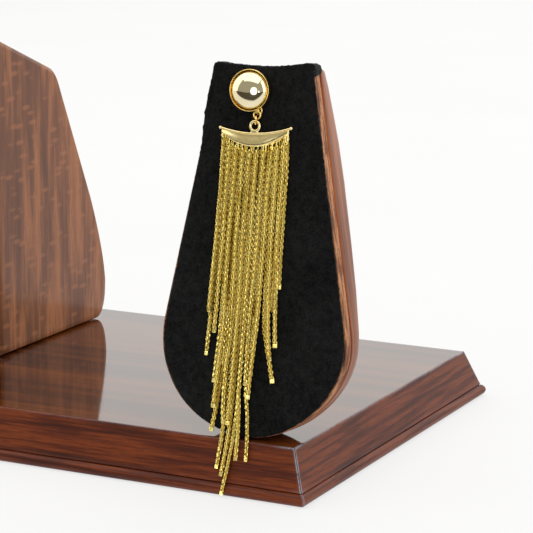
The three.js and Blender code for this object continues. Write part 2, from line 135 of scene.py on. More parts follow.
class Shell:
    """Grid surfaces in millimetres that become one mesh object in metres."""

    def __init__(self) -> None:
        """Starts with no surfaces."""
        self.points: list[np.ndarray] = []
        self.quads: list[np.ndarray] = []
        self.uvs: list[np.ndarray] = []
        self.slots: list[np.ndarray] = []
        # Marks per point: a pale grey of rubbed lacquer and painted highlight, and a near black of dark
        # joints and painted shade.
        self.marks: dict[str, list[np.ndarray]] = {"wear_and_highlight": [], "dark_joint_and_shade": []}
        self.count = 0

    def add(
        self,
        grid: np.ndarray,
        wrap: Wrap = Wrap.AROUND,
        caps: bool = False,
        slots: np.ndarray | int = 0,
        marks: dict[str, np.ndarray] | None = None,
        level_row: int = 0,
    ) -> None:
        """Adds one surface, turned so that its cells face outwards.

        The UV map is the length run along a row and down the columns from the level row, in metres.

        Args:
            grid: rows by columns by 3 coordinates.
            wrap: which ways the grid closes on itself.
            caps: closes the first and last rows onto their middle points.
            slots: the material number of each strip between two rows, or one number for all.
            marks: values from 0 to 1 for each point, by mark name.
            level_row: the row, counted with the caps, from which the map's V is measured.
        """
        marks = {k: np.asarray(v, float) for k, v in (marks or {}).items()}
        strips = np.zeros(grid.shape[0] - 1, int) + slots if wrap is not Wrap.BOTH else slots
        if caps:
            first = np.repeat(grid[:1].mean(1, keepdims=True), grid.shape[1], 1)
            last = np.repeat(grid[-1:].mean(1, keepdims=True), grid.shape[1], 1)
            grid = np.concatenate([first, grid, last])
            marks = {k: np.concatenate([v[:1], v, v[-1:]]) for k, v in marks.items()}
            strips = np.concatenate([strips[:1], strips, strips[-1:]])
        rows, cols = grid.shape[:2]
        quads = grid_quads(rows, cols, wrap)
        wrap_rows, wrap_cols = wrap.value
        full = np.pad(grid, ((0, int(wrap_rows)), (0, int(wrap_cols)), (0, 0)), mode="wrap")
        down = run_length(full, 0)
        uv = np.stack([run_length(full, 1), down - down[level_row : level_row + 1]], -1) * MM
        corners = grid_quads(full.shape[0], full.shape[1], Wrap.OPEN)
        face_uv = uv.reshape(-1, 2)[corners]
        flat = grid.reshape(-1, 3)
        if signed_volume(flat, quads) < 0:
            quads, face_uv = quads[:, ::-1], face_uv[:, ::-1]
        per_strip = quads.shape[0] // (rows if wrap_rows else rows - 1)
        number = np.repeat(strips, per_strip) if np.ndim(strips) else np.full(len(quads), strips)
        self.points.append(flat)
        self.quads.append(quads + self.count)
        self.uvs.append(face_uv)
        self.slots.append(number)
        for name, values in self.marks.items():
            values.append(marks.get(name, np.zeros(grid.shape[:2])).reshape(-1))
        self.count += len(flat)

    def scatter(self, part: np.ndarray, cells: np.ndarray, places: np.ndarray, axes: np.ndarray) -> None:
        """Adds one small closed part many times over, in the first material.

        Args:
            part: the part's points about its own origin.
            cells: its four-cornered cells.
            places: where each copy's origin goes.
            axes: each copy's three axes, as rows.
        """
        if signed_volume(part, cells) < 0:
            cells = cells[:, ::-1]
        copies, size = len(places), len(part)
        self.points.append((places[:, None] + np.einsum("pk,nkc->npc", part, axes)).reshape(-1, 3))
        numbers = cells[None] + np.arange(copies)[:, None, None] * size
        self.quads.append(self.count + numbers.reshape(-1, 4))
        self.uvs.append(np.zeros((copies * len(cells), 4, 2)))
        self.slots.append(np.zeros(copies * len(cells), int))
        for values in self.marks.values():
            values.append(np.zeros(copies * size))
        self.count += copies * size

    def build(
        self,
        name: str,
        finishes: list[bpy.types.Material],
        sharp: float = 35.0,
        smooth: bool = True,
        weld: bool = True,
    ) -> bpy.types.Object:
        """Puts all the surfaces into one object at the origin.

        Args:
            name: the object's name.
            finishes: the materials, in the order of the slot numbers.
            sharp: edges that bend more than this many degrees stay crisp.
            smooth: shades smoothly between the crisp edges.
            weld: merges points that lie on each other, which closes seams and poles.

        Returns:
            The new object, in the scene.
        """
        mesh = bpy.data.meshes.new(name)
        quads = np.concatenate(self.quads)
        mesh.from_pydata((np.concatenate(self.points) * MM).tolist(), [], quads.tolist())
        mesh.uv_layers.new(name="UVMap").data.foreach_set(
            "uv", np.concatenate(self.uvs).astype(np.float32).ravel())
        mesh.polygons.foreach_set("material_index", np.concatenate(self.slots).astype(np.int32))
        mesh.polygons.foreach_set("use_smooth", np.full(len(quads), smooth))
        for mark, values in self.marks.items():
            layer = mesh.attributes.new(mark, "FLOAT", "POINT")
            layer.data.foreach_set("value", np.concatenate(values).astype(np.float32))
        if weld:
            work = bmesh.new()
            work.from_mesh(mesh)
            bmesh.ops.remove_doubles(work, verts=work.verts, dist=2e-7)
            work.to_mesh(mesh)
            work.free()
        if smooth:
            mesh.set_sharp_from_angle(angle=math.radians(sharp))
        for finish in finishes:
            mesh.materials.append(finish)
        mesh.update()
        made = bpy.data.objects.new(name, mesh)
        bpy.context.scene.collection.objects.link(made)
        return made


def settle(piece: bpy.types.Object, slot: str, *nodes: str) -> bpy.types.Object:
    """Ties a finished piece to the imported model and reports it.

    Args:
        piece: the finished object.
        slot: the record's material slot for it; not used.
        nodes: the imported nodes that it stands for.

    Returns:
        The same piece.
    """
    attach(piece, BODY)
    if nodes:
        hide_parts(*nodes)
    LOG.info("%s: %d faces for %s", piece.name, len(piece.data.polygons), ", ".join(nodes))
    return piece


def turned(profile: np.ndarray, centre: np.ndarray, steps: int = 72) -> np.ndarray:
    """Turns a profile about an axis that points along -Y of its own frame.

    Args:
        profile: pairs of radius and how far forward the point is.
        centre: the axis's place as across, forward offset and up.
        steps: points around.

    Returns:
        A grid, rows along the profile: (cx + r cos t, -(f + cf), cz + r sin t).
    """
    angle = np.linspace(0, 2 * np.pi, steps, endpoint=False)
    radius, forward = profile[:, :1], profile[:, 1:]
    across = centre[0] + radius * np.cos(angle)
    up = centre[2] + radius * np.sin(angle)
    return np.stack([across, -(forward + centre[1]) + 0 * angle, up], -1)


def wire_ring(
    centre: np.ndarray,
    side: np.ndarray,
    up: np.ndarray,
    radii: tuple[float, float],
    wire: float,
    steps: tuple[int, int] = (48, 16),
    span: tuple[float, float] = (0.0, 2 * math.pi),
) -> np.ndarray:
    """A round wire bent to an oval.

    The centre line is c + side * a cos t + up * b sin t, and the wire's section is a circle between
    the oval's outward direction and side x up.

    Args:
        centre: the oval's middle.
        side: unit vector of the first half axis.
        up: unit vector of the second half axis.
        radii: both half axes of the centre line.
        wire: the wire's radius.
        steps: points along the oval and around the wire.
        span: first and last angle; a full turn closes on itself.

    Returns:
        A grid, rows along the oval.
    """
    closed = span[1] - span[0] > 2 * math.pi - 1e-6
    t = np.linspace(*span, steps[0], endpoint=not closed)[:, None]
    s = np.linspace(0, 2 * np.pi, steps[1], endpoint=False)[None, :, None]
    line = centre + radii[0] * np.cos(t) * side + radii[1] * np.sin(t) * up
    out = unit(radii[1] * np.cos(t) * side + radii[0] * np.sin(t) * up)
    across = np.cross(side, up)
    return line[:, None] + wire * (np.cos(s) * out[:, None] + np.sin(s) * across)


def swept(path: np.ndarray, side: np.ndarray, section: np.ndarray) -> np.ndarray:
    """Carries a section along a path.

    With t the path's direction, x = side less its part along t, and y = t x x, every point is
    p + u x + v y for the section's pairs (u, v).

    Args:
        path: points by 3.
        side: one vector that is never along the path.
        section: pairs, or one set of pairs for each point of the path.

    Returns:
        A grid, rows along the path.
    """
    tangent = unit(np.gradient(path, axis=0))
    x = unit(side - (tangent @ side)[:, None] * tangent)
    y = np.cross(tangent, x)
    pairs = np.broadcast_to(section, (len(path), *section.shape[-2:]))
    return path[:, None] + pairs[..., :1] * x[:, None] + pairs[..., 1:] * y[:, None]


def circle(radius: float, steps: int = 12) -> np.ndarray:
    """A circle's points as pairs."""
    angle = np.linspace(0, 2 * np.pi, steps, endpoint=False)
    return radius * np.stack([np.cos(angle), np.sin(angle)], -1)


def ball(centre: np.ndarray, radius: float, steps: int = 16) -> np.ndarray:
    """A ball as a grid from pole to pole: c + r (cos a cos b, sin a cos b, sin b)."""
    a = np.linspace(0, 2 * np.pi, 2 * steps, endpoint=False)[None]
    b = np.linspace(-np.pi / 2, np.pi / 2, steps)[:, None]
    shape = np.stack([np.cos(a) * np.cos(b), np.sin(a) * np.cos(b), np.sin(b) + 0 * a], -1)
    return centre + radius * shape


# ------------------------------------------------------------------------------ finishes


class Place(Enum):
    """What a pattern is laid out on: the piece's own space, or its UV map."""

    OBJECT = "Object"
    UV = "UV"


class Shade:
    """The node tree of one material, around one Principled shader."""

    def __init__(self, name: str, **sockets: float | tuple) -> None:
        """Makes the material and sets constants on the shader's own sockets.

        Args:
            name: the material's name.
            sockets: constant values, by socket name with _ for each space.
        """
        self.material = bpy.data.materials.new(name)
        self.material.use_nodes = True
        self.tree = self.material.node_tree
        self.tree.nodes.clear()
        self.shader = self.node("ShaderNodeBsdfPrincipled")
        out = self.node("ShaderNodeOutputMaterial")
        self.tree.links.new(self.shader.outputs["BSDF"], out.inputs["Surface"])
        for key, value in sockets.items():
            self.shader.inputs[key.replace("_", " ")].default_value = value

    def node(self, kind: str, inputs: dict | None = None, **settings: object) -> bpy.types.Node:
        """Adds a node.

        Args:
            kind: Blender's name of the node type.
            inputs: a value or a socket for each input, by name or number.
            settings: properties of the node itself.

        Returns:
            The node.
        """
        made = self.tree.nodes.new(kind)
        for key, value in settings.items():
            setattr(made, key, value)
        for key, value in (inputs or {}).items():
            if isinstance(value, Socket):
                self.tree.links.new(value, made.inputs[key])
            else:
                made.inputs[key].default_value = value
        return made

    def place(self, kind: Place, scale: tuple, offset: tuple = (0, 0, 0), turn: tuple = (0, 0, 0)) -> Socket:
        """Coordinates stretched by scale, after a shift and a turn."""
        source = self.node("ShaderNodeTexCoord").outputs[kind.value]
        return self.node("ShaderNodeMapping", {
            "Vector": source, "Scale": scale, "Location": offset, "Rotation": turn}).outputs[0]

    def noise(self, at: Socket, detail: float = 4, rough: float = 0.55, bend: float = 0) -> Socket:
        """Fractal noise from about 0.2 to 0.8."""
        return self.node("ShaderNodeTexNoise", {
            "Vector": at, "Scale": 1.0, "Detail": detail, "Roughness": rough,
            "Distortion": bend}).outputs["Fac"]

    def ramp(self, value: Socket, stops: list[tuple[float, Colour]]) -> Socket:
        """Colour that runs through the stops as the value grows."""
        made = self.node("ShaderNodeValToRGB", {"Fac": value})
        elements = made.color_ramp.elements
        while len(elements) < len(stops):
            elements.new(0.5)
        for element, (at, colour) in zip(elements, stops, strict=True):
            element.position = at
            element.color = (*colour, 1)
        return made.outputs["Color"]

    def span(self, value: Socket, low: float, high: float, to_low: float = 0, to_high: float = 1) -> Socket:
        """Maps low..high of a value onto to_low..to_high, clamped."""
        return self.node("ShaderNodeMapRange", {
            "Value": value, "From Min": low, "From Max": high, "To Min": to_low,
            "To Max": to_high}).outputs["Result"]

    def math(self, act: str, a: Socket | float, b: Socket | float) -> Socket:
        """One arithmetic step on two values."""
        return self.node("ShaderNodeMath", {0: a, 1: b}, operation=act).outputs[0]

    def mix(self, share: Socket | float, a: Socket | tuple, b: Socket | tuple, blend: str = "MIX") -> Socket:
        """Colour a with colour b laid over it by a share."""
        made = self.node("ShaderNodeMix", {"Factor": share}, data_type="RGBA", blend_type=blend)
        for key, value in ((6, a), (7, b)):
            if isinstance(value, Socket):
                self.tree.links.new(value, made.inputs[key])
            else:
                made.inputs[key].default_value = (*value, 1)
        return made.outputs[2]

    def mark(self, name: str) -> Socket:
        """A mark that the mesh carries at its points."""
        return self.node("ShaderNodeAttribute", attribute_name=name).outputs["Fac"]

    def bump(self, height: Socket, depth_mm: float, strength: float = 1.0) -> None:
        """Roughens the surface by a height map of that depth."""
        made = self.node("ShaderNodeBump", {
            "Height": height, "Distance": depth_mm * MM, "Strength": strength})
        self.tree.links.new(made.outputs["Normal"], self.shader.inputs["Normal"])

    def drive(self, socket: str, value: Socket) -> None:
        """Feeds one of the shader's sockets."""
        self.tree.links.new(value, self.shader.inputs[socket])


@dataclass(frozen=True)
class WoodFinish:
    """Grained wood under lacquer. Scales are in waves per metre along and across the grain."""

    name: str
    dark: Colour
    middle: Colour
    light: Colour
    place: Place = Place.UV
    along: float = 9
    across: float = 330
    axis: str = "X"
    roughness: float = 0.3
    rough_spread: float = 0.08
    gloss_ior: float = 1.5
    gloss: float = 0.5
    bump_mm: float = 0.03
    pore_share: float = 0.5
    figure: float = 0.0
    bend: float = 0.15
    # Pale grey of rubbed lacquer, which on the base's arris is also a painted highlight.
    worn_and_highlight: Colour = (0.30, 0.31, 0.36)
    # Near black of dark joints, which at the plinth's foot is painted contact shade.
    gap: Colour = (0.004, 0.003, 0.003)

    def stretched(self, along: float, across: float) -> tuple[float, float, float]:
        """Scales with the grain's own axis taking the small one."""
        order = {"X": (along, across, across), "Y": (across, along, across), "Z": (across, across, along)}
        return order[self.axis]

    def grain(
        self, shade: Shade, along: float, across: float, detail: float, rough: float, bend: float = 0
    ) -> Socket:
        """Noise drawn out along the grain, finer than the finish's own scales by these factors."""
        scale = self.stretched(self.along * along, self.across * across)
        return shade.noise(shade.place(self.place, scale), detail, rough, bend)

    def make(self) -> bpy.types.Material:
        """Builds the material: broad bands, streaks, pores, figure, then pale grey for rubbed lacquer and
        painted highlight, and near black for dark joints and painted shade.

        Returns:
            The material.
        """
        shade = Shade(self.name, IOR=self.gloss_ior, Specular_IOR_Level=self.gloss)
        bands = self.grain(shade, 0.5, 0.28, 3, 0.5, self.bend)
        streaks = self.grain(shade, 1, 1, 6, 0.62, self.bend)
        fine = self.grain(shade, 7, 6, 3, 0.6)
        tone = shade.math("ADD", shade.math("MULTIPLY", bands, 0.45), shade.math("MULTIPLY", streaks, 0.55))
        colour = shade.ramp(tone, [
            (0.34, self.dark), (0.47, self.middle), (0.56, self.light), (0.68, self.middle)])
        pores = shade.span(fine, 0.52, 0.66, 0, self.pore_share)
        colour = shade.mix(pores, colour, self.dark)
        if self.figure:
            spots = shade.node("ShaderNodeTexVoronoi", {
                "Vector": shade.place(self.place, self.stretched(self.along * 22, self.across * 0.72)),
                "Scale": 1.0}).outputs["Distance"]
            colour = shade.mix(shade.span(spots, 0.34, 0.16, 0, self.figure), colour, self.light)
        chips = shade.noise(shade.place(self.place, (420, 420, 420)), 3, 0.7)
        # The first mark lays on pale grey: rubbed lacquer, and on the base's arris also a painted highlight.
        wear_and_highlight = shade.math("MULTIPLY", shade.mark("wear_and_highlight"), shade.span(chips, 0.36, 0.52, 0.25, 1))
        colour = shade.mix(wear_and_highlight, colour, self.worn_and_highlight)
        # The second mark darkens towards near black: dark mitre joints on the board, and painted contact
        # shade along the plinth's foot.
        dark_joint_and_shade = shade.math("MULTIPLY", shade.mark("dark_joint_and_shade"), shade.span(chips, 0.30, 0.42, 0.6, 1))
        colour = shade.mix(dark_joint_and_shade, colour, self.gap)
        shade.drive("Base Color", colour)
        shade.drive("Roughness", shade.span(
            tone, 0.35, 0.65, self.roughness + self.rough_spread, self.roughness))
        shade.bump(shade.math("ADD", streaks, shade.math("MULTIPLY", pores, -0.8)), self.bump_mm)
        return shade.material


@dataclass(frozen=True)
class VelvetFinish:
    """Short-pile cloth: nearly black, with a fine nap and soft brushed patches."""

    name: str
    dark: Colour
    light: Colour
    nap: float = 1500
    bump_mm: float = 0.3
    sheen: float = 0.18

    def make(self) -> bpy.types.Material:
        """Builds the material: pile noise at two sizes drives colour, bump and roughness.

        Returns:
            The material.
        """
        shade = Shade(
            self.name, IOR=1.35, Specular_IOR_Level=0.15, Sheen_Weight=self.sheen,
            Sheen_Roughness=0.45, Sheen_Tint=(0.5, 0.5, 0.52, 1))
        pile = shade.noise(shade.place(Place.OBJECT, (self.nap,) * 3), 3, 0.7)
        tufts = shade.noise(shade.place(Place.OBJECT, (self.nap * 0.3,) * 3), 3, 0.6)
        brushed = shade.noise(shade.place(Place.OBJECT, (55, 55, 38)), 3, 0.5)
        height = shade.math("ADD", shade.math("MULTIPLY", pile, 0.6), shade.math("MULTIPLY", tufts, 0.4))
        tone = shade.math("ADD", shade.math("MULTIPLY", height, 0.8), shade.math("MULTIPLY", brushed, 0.2))
        shade.drive("Base Color", shade.ramp(tone, [(0.40, self.dark), (0.62, self.light)]))
        shade.drive("Roughness", shade.span(pile, 0.3, 0.7, 0.85, 1.0))
        shade.bump(height, self.bump_mm)
        return shade.material


@dataclass(frozen=True)
class GoldFinish:
    """Plated metal: its colour, how polished it is, and faint handling marks."""

    name: str
    colour: Colour
    deep: Colour
    roughness: float = 0.08
    smudge: float = 0.06
    bump_mm: float = 0.002
    scale: float = 260

    def make(self) -> bpy.types.Material:
        """Builds the material: smudges vary roughness and tone, and a fine wave bends the mirror.

        Returns:
            The material.
        """
        shade = Shade(self.name, Metallic=1.0)
        smudges = shade.noise(shade.place(Place.OBJECT, (self.scale,) * 3), 4, 0.6)
        fine = shade.noise(shade.place(Place.OBJECT, (self.scale * 9,) * 3), 2, 0.5)
        shade.drive("Base Color", shade.ramp(smudges, [(0.32, self.deep), (0.6, self.colour)]))
        shade.drive("Roughness", shade.span(
            smudges, 0.35, 0.7, self.roughness, self.roughness + self.smudge))
        shade.bump(shade.math("ADD", fine, smudges), self.bump_mm)
        return shade.material


@dataclass(frozen=True)
class Finishes:
    """Every material on the object, made once."""

    base_top: bpy.types.Material
    base_edge: bpy.types.Material
    panel: bpy.types.Material
    groove: bpy.types.Material
    back_board: bpy.types.Material
    figured: bpy.types.Material
    black_velvet: bpy.types.Material
    green_velvet: bpy.types.Material
    pale_gold: bpy.types.Material
    satin_gold: bpy.types.Material
    yellow_gold: bpy.types.Material
    chain_gold: bpy.types.Material
    core_gold: bpy.types.Material

    @classmethod
    def make(cls) -> "Finishes":
        """Builds them all.

        Returns:
            The object's materials by name.
        """
        return cls(
            base_top=WoodFinish(
                "base_top_veneer", (0.012, 0.003, 0.001), (0.050, 0.011, 0.002), (0.11, 0.027, 0.004),
                place=Place.OBJECT, along=4, across=150, roughness=0.05, rough_spread=0.03,
                gloss_ior=1.56, bump_mm=0.0015, pore_share=0.3).make(),
            base_edge=WoodFinish(
                "base_edge_veneer", (0.022, 0.004, 0.0015), (0.080, 0.014, 0.004), (0.165, 0.034, 0.008),
                along=30, across=700, roughness=0.34, gloss=0.2, bump_mm=0.02).make(),
            panel=WoodFinish(
                "panel_wood", (0.030, 0.008, 0.003), (0.22, 0.072, 0.024), (0.60, 0.27, 0.12),
                along=110, across=900, roughness=0.5, gloss=0.2, bump_mm=0.12, pore_share=0.9).make(),
            groove=WoodFinish(
                "groove_wood", (0.09, 0.014, 0.003), (0.26, 0.050, 0.006), (0.48, 0.13, 0.02),
                along=20, across=500, roughness=0.35, gloss=0.3, bump_mm=0.03).make(),
            back_board=WoodFinish(
                "back_board_wood", (0.085, 0.022, 0.009), (0.22, 0.070, 0.028), (0.36, 0.13, 0.058),
                along=22, across=800, roughness=0.26, gloss=0.28, bump_mm=0.008,
                pore_share=0.55).make(),
            figured=WoodFinish(
                "figured_wood", (0.060, 0.018, 0.006), (0.17, 0.055, 0.018), (0.36, 0.13, 0.045),
                place=Place.OBJECT, axis="Z", along=14, across=150, roughness=0.14, gloss=0.4,
                bump_mm=0.006, pore_share=0.35, figure=0.5).make(),
            black_velvet=VelvetFinish("black_velvet", (0.0006,) * 3, (0.0125,) * 3).make(),
            green_velvet=VelvetFinish(
                "dark_green_velvet", (0.002, 0.004, 0.003), (0.006, 0.012, 0.010)).make(),
            pale_gold=GoldFinish("pale_gold", (0.93, 0.83, 0.57), (0.88, 0.76, 0.48), 0.05, 0.05).make(),
            satin_gold=GoldFinish("satin_gold", (0.98, 0.82, 0.42), (0.94, 0.75, 0.34), 0.19, 0.06).make(),
            yellow_gold=GoldFinish("yellow_gold", (0.95, 0.72, 0.26), (0.88, 0.60, 0.18), 0.12, 0.1).make(),
            chain_gold=GoldFinish(
                "chain_gold", (1.0, 0.86, 0.30), (1.0, 0.75, 0.18), 0.19, 0.1, 0.004, 900).make(),
            # A darker, rougher copy of the chain's gold for the tube inside the links: painted shade.
            core_gold=GoldFinish(
                "core_gold", (0.46, 0.33, 0.07), (0.24, 0.16, 0.025), 0.35, 0.15, 0.004, 1400).make(),
        )


# ---------------------------------------------------------------------------------- base


@dataclass
class Base:
    """The veneered board with sloping mitred edges, and its plinth. Sizes are millimetres."""

    finishes: Finishes
    bevel: float = 4.5
    plinth_height: float = 3.8
    plinth_lip: float = 1.5
    arris: float = 0.28
    # Share of pale grey on the arris per side, front, right, back, left: rubbed lacquer and a painted
    # highlight, stronger on the right and back.
    arris_wear_and_highlight: tuple[float, ...] = (0.16, 0.5, 0.5, 0.16)
    mitre_depth: float = 0.32
    plinth_mitre: float = 0.12
    length: float = field(init=False)
    depth: float = field(init=False)
    foot: float = field(init=False)
    top: float = field(init=False)

    def __post_init__(self) -> None:
        """Takes the board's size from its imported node."""
        low, high = (np.array(c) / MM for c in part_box("base_board"))
        self.length, self.depth = (high - low)[:2] - 2 * self.bevel
        self.foot, self.top = low[2], high[2]

    def rings(self, grow: np.ndarray, height: np.ndarray, notch: np.ndarray) -> tuple[np.ndarray, np.ndarray]:
        """Rectangles about the centre, one for each row of a profile.

        A side's point is corner + (next corner - corner) * s, where s crowds towards both ends, and
        the point at s = 0 is drawn in along the diagonal by the notch.

        Args:
            grow: how far each row stands out past the edge of the board's top.
            height: each row's height.
            notch: how deep the mitre joint is in each row.

        Returns:
            The grid, and each point's distance along its side from the nearest corner.
        """
        signs = np.array([[-1, -1], [1, -1], [1, 1], [-1, 1]], float)
        half = np.array([self.length, self.depth]) / 2
        corners = signs * half + grow[:, None, None] * signs
        ends = np.array([0, 0.16, 0.34, 0.7, 1.4, 3.0, 8.0])
        middle = np.linspace(16, self.depth - 16, 14)
        sides = []
        near = []
        for k, size in enumerate([self.length, self.depth] * 2):
            run = np.concatenate([ends, np.interp(middle, [16, self.depth - 16], [16, size - 16]),
                                  size - ends[:0:-1]])
            share = (run / size)[None, :, None]
            side = corners[:, k, None] * (1 - share) + corners[:, (k + 1) % 4, None] * share
            side[:, 0] -= signs[k] * notch[:, None] / math.sqrt(2)
            sides.append(side)
            near.append(np.minimum(run, size - run))
        flat = np.concatenate(sides, 1)
        level = np.broadcast_to(height[:, None, None], (*flat.shape[:2], 1))
        return np.concatenate([flat, level], -1), np.concatenate(near)

    def board(self) -> bpy.types.Object:
        """The board: its top, a softened arris, the slope, and the underside.

        Returns:
            The piece.
        """
        slope = np.array([self.bevel, self.foot - self.top])
        down = slope / np.linalg.norm(slope)
        a = self.arris
        rows = np.array([
            [-20, self.top, 0, 0, 0], [-2.2, self.top, 0, 0, 0], [-1.0, self.top, 0.0, 0, 0.1],
            [-a, self.top, 0.55, 0.4, 0.6], [-0.4 * a, self.top - 0.05, 1, 1, 1],
            [down[0] * 0.5 * a, self.top + down[1] * 0.5 * a, 0.9, 1, 1],
            [down[0] * 1.5 * a, self.top + down[1] * 1.5 * a, 0.35, 1, 1],
            [down[0] * 2.6 * a, self.top + down[1] * 2.6 * a, 0, 1, 1],
            *[[self.bevel * s, self.top + (self.foot - self.top) * s, 0, 1, 1] for s in (0.3, 0.5, 0.7, 0.9)],
            [self.bevel, self.foot + 0.12, 0.15, 1, 0.8],
            [self.bevel - 0.12, self.foot, 0, 0.5, 0.4], [self.bevel - 4, self.foot, 0, 0, 0],
        ])
        grow, height, wear_and_highlight, dark_joint_and_shade, notch = rows.T
        grid, near = self.rings(grow, height, notch * self.mitre_depth)
        wave = 0.5 + 0.5 * np.sin(np.arange(grid.shape[1]) * 1.7)
        # Pale grey along the arris, stronger on the right and back sides and near the corners: rubbed lacquer
        # and a painted highlight.
        exposed = np.repeat(self.arris_wear_and_highlight, grid.shape[1] // 4) + 0.7 * smooth_step(-near, -9.0, -1.0)
        arris_wear_and_highlight_mask = wear_and_highlight[:, None] * (0.55 + 0.45 * wave) * np.minimum(exposed, 1)
        mitre_wear = 0.9 * dark_joint_and_shade[:, None] * (smooth_step(near, 0.02, 0.2) * smooth_step(-near, -0.75, -0.34))
        shell = Shell()
        shell.add(grid, caps=True, slots=np.array([0] * 3 + [1] * (len(rows) - 4)), level_row=5, marks={
            "wear_and_highlight": np.maximum(arris_wear_and_highlight_mask, mitre_wear),
            "dark_joint_and_shade": dark_joint_and_shade[:, None] * smooth_step(-near, -0.2, -0.06)})
        made = shell.build("veneered_board", [self.finishes.base_top, self.finishes.base_edge], 28)
        return settle(made, "base_wood", "base_board")

    def plinth(self) -> bpy.types.Object:
        """The thin board under it, whose edge is a half round.

        Returns:
            The piece.
        """
        half = self.plinth_height / 2
        angle = np.linspace(-np.pi / 2, np.pi / 2, 13)
        inner = self.bevel + self.plinth_lip - half
        grow = np.concatenate([[inner - 4], inner + half * np.cos(angle), [inner - 4]])
        height = np.concatenate([[0], half + half * np.sin(angle), [2 * half]])
        grid, near = self.rings(grow, height, np.full(len(grow), self.plinth_mitre))
        shell = Shell()
        # The bead's lowest rows, where it meets the floor, are darkened part way to near black: painted
        # contact shade.
        painted_contact_shade = np.repeat((height[:, None] < 0.5).astype(float) * 0.5, grid.shape[1], 1)
        shell.add(grid, caps=True, level_row=2, marks={
            "wear_and_highlight": 0.35 * smooth_step(-near, -0.7, -0.2)[None] * np.ones_like(painted_contact_shade), "dark_joint_and_shade": painted_contact_shade})
        made = shell.build("rounded_plinth", [self.finishes.base_edge], 50)
        return settle(made, "base_wood", "base_plinth")


# --------------------------------------------------------------------------------- paddle


@dataclass
class Leaning:
    """The paddle's own frame: X across it, Y into the board from the velvet, Z up along it."""

    foot: tuple[float, float, float] = (89.4, -65.0, 16.1)
    yaw: float = 4.5
    lean: float = 7.0

    @property
    def axes(self) -> np.ndarray:
        """The frame's X, Y and Z as rows: a turn by the yaw of a tilt back by the lean."""
        a, b = math.radians(self.yaw), math.radians(self.lean)
        x = [math.cos(a), math.sin(a), 0]
        y = [-math.sin(a) * math.cos(b), math.cos(a) * math.cos(b), -math.sin(b)]
        z = [-math.sin(a) * math.sin(b), math.cos(a) * math.sin(b), math.cos(b)]
        return np.array([x, y, z])

    def stand(self, points: np.ndarray) -> np.ndarray:
        """Puts points of the leaning frame into the stand's."""
        return points @ self.axes + np.array(self.foot)


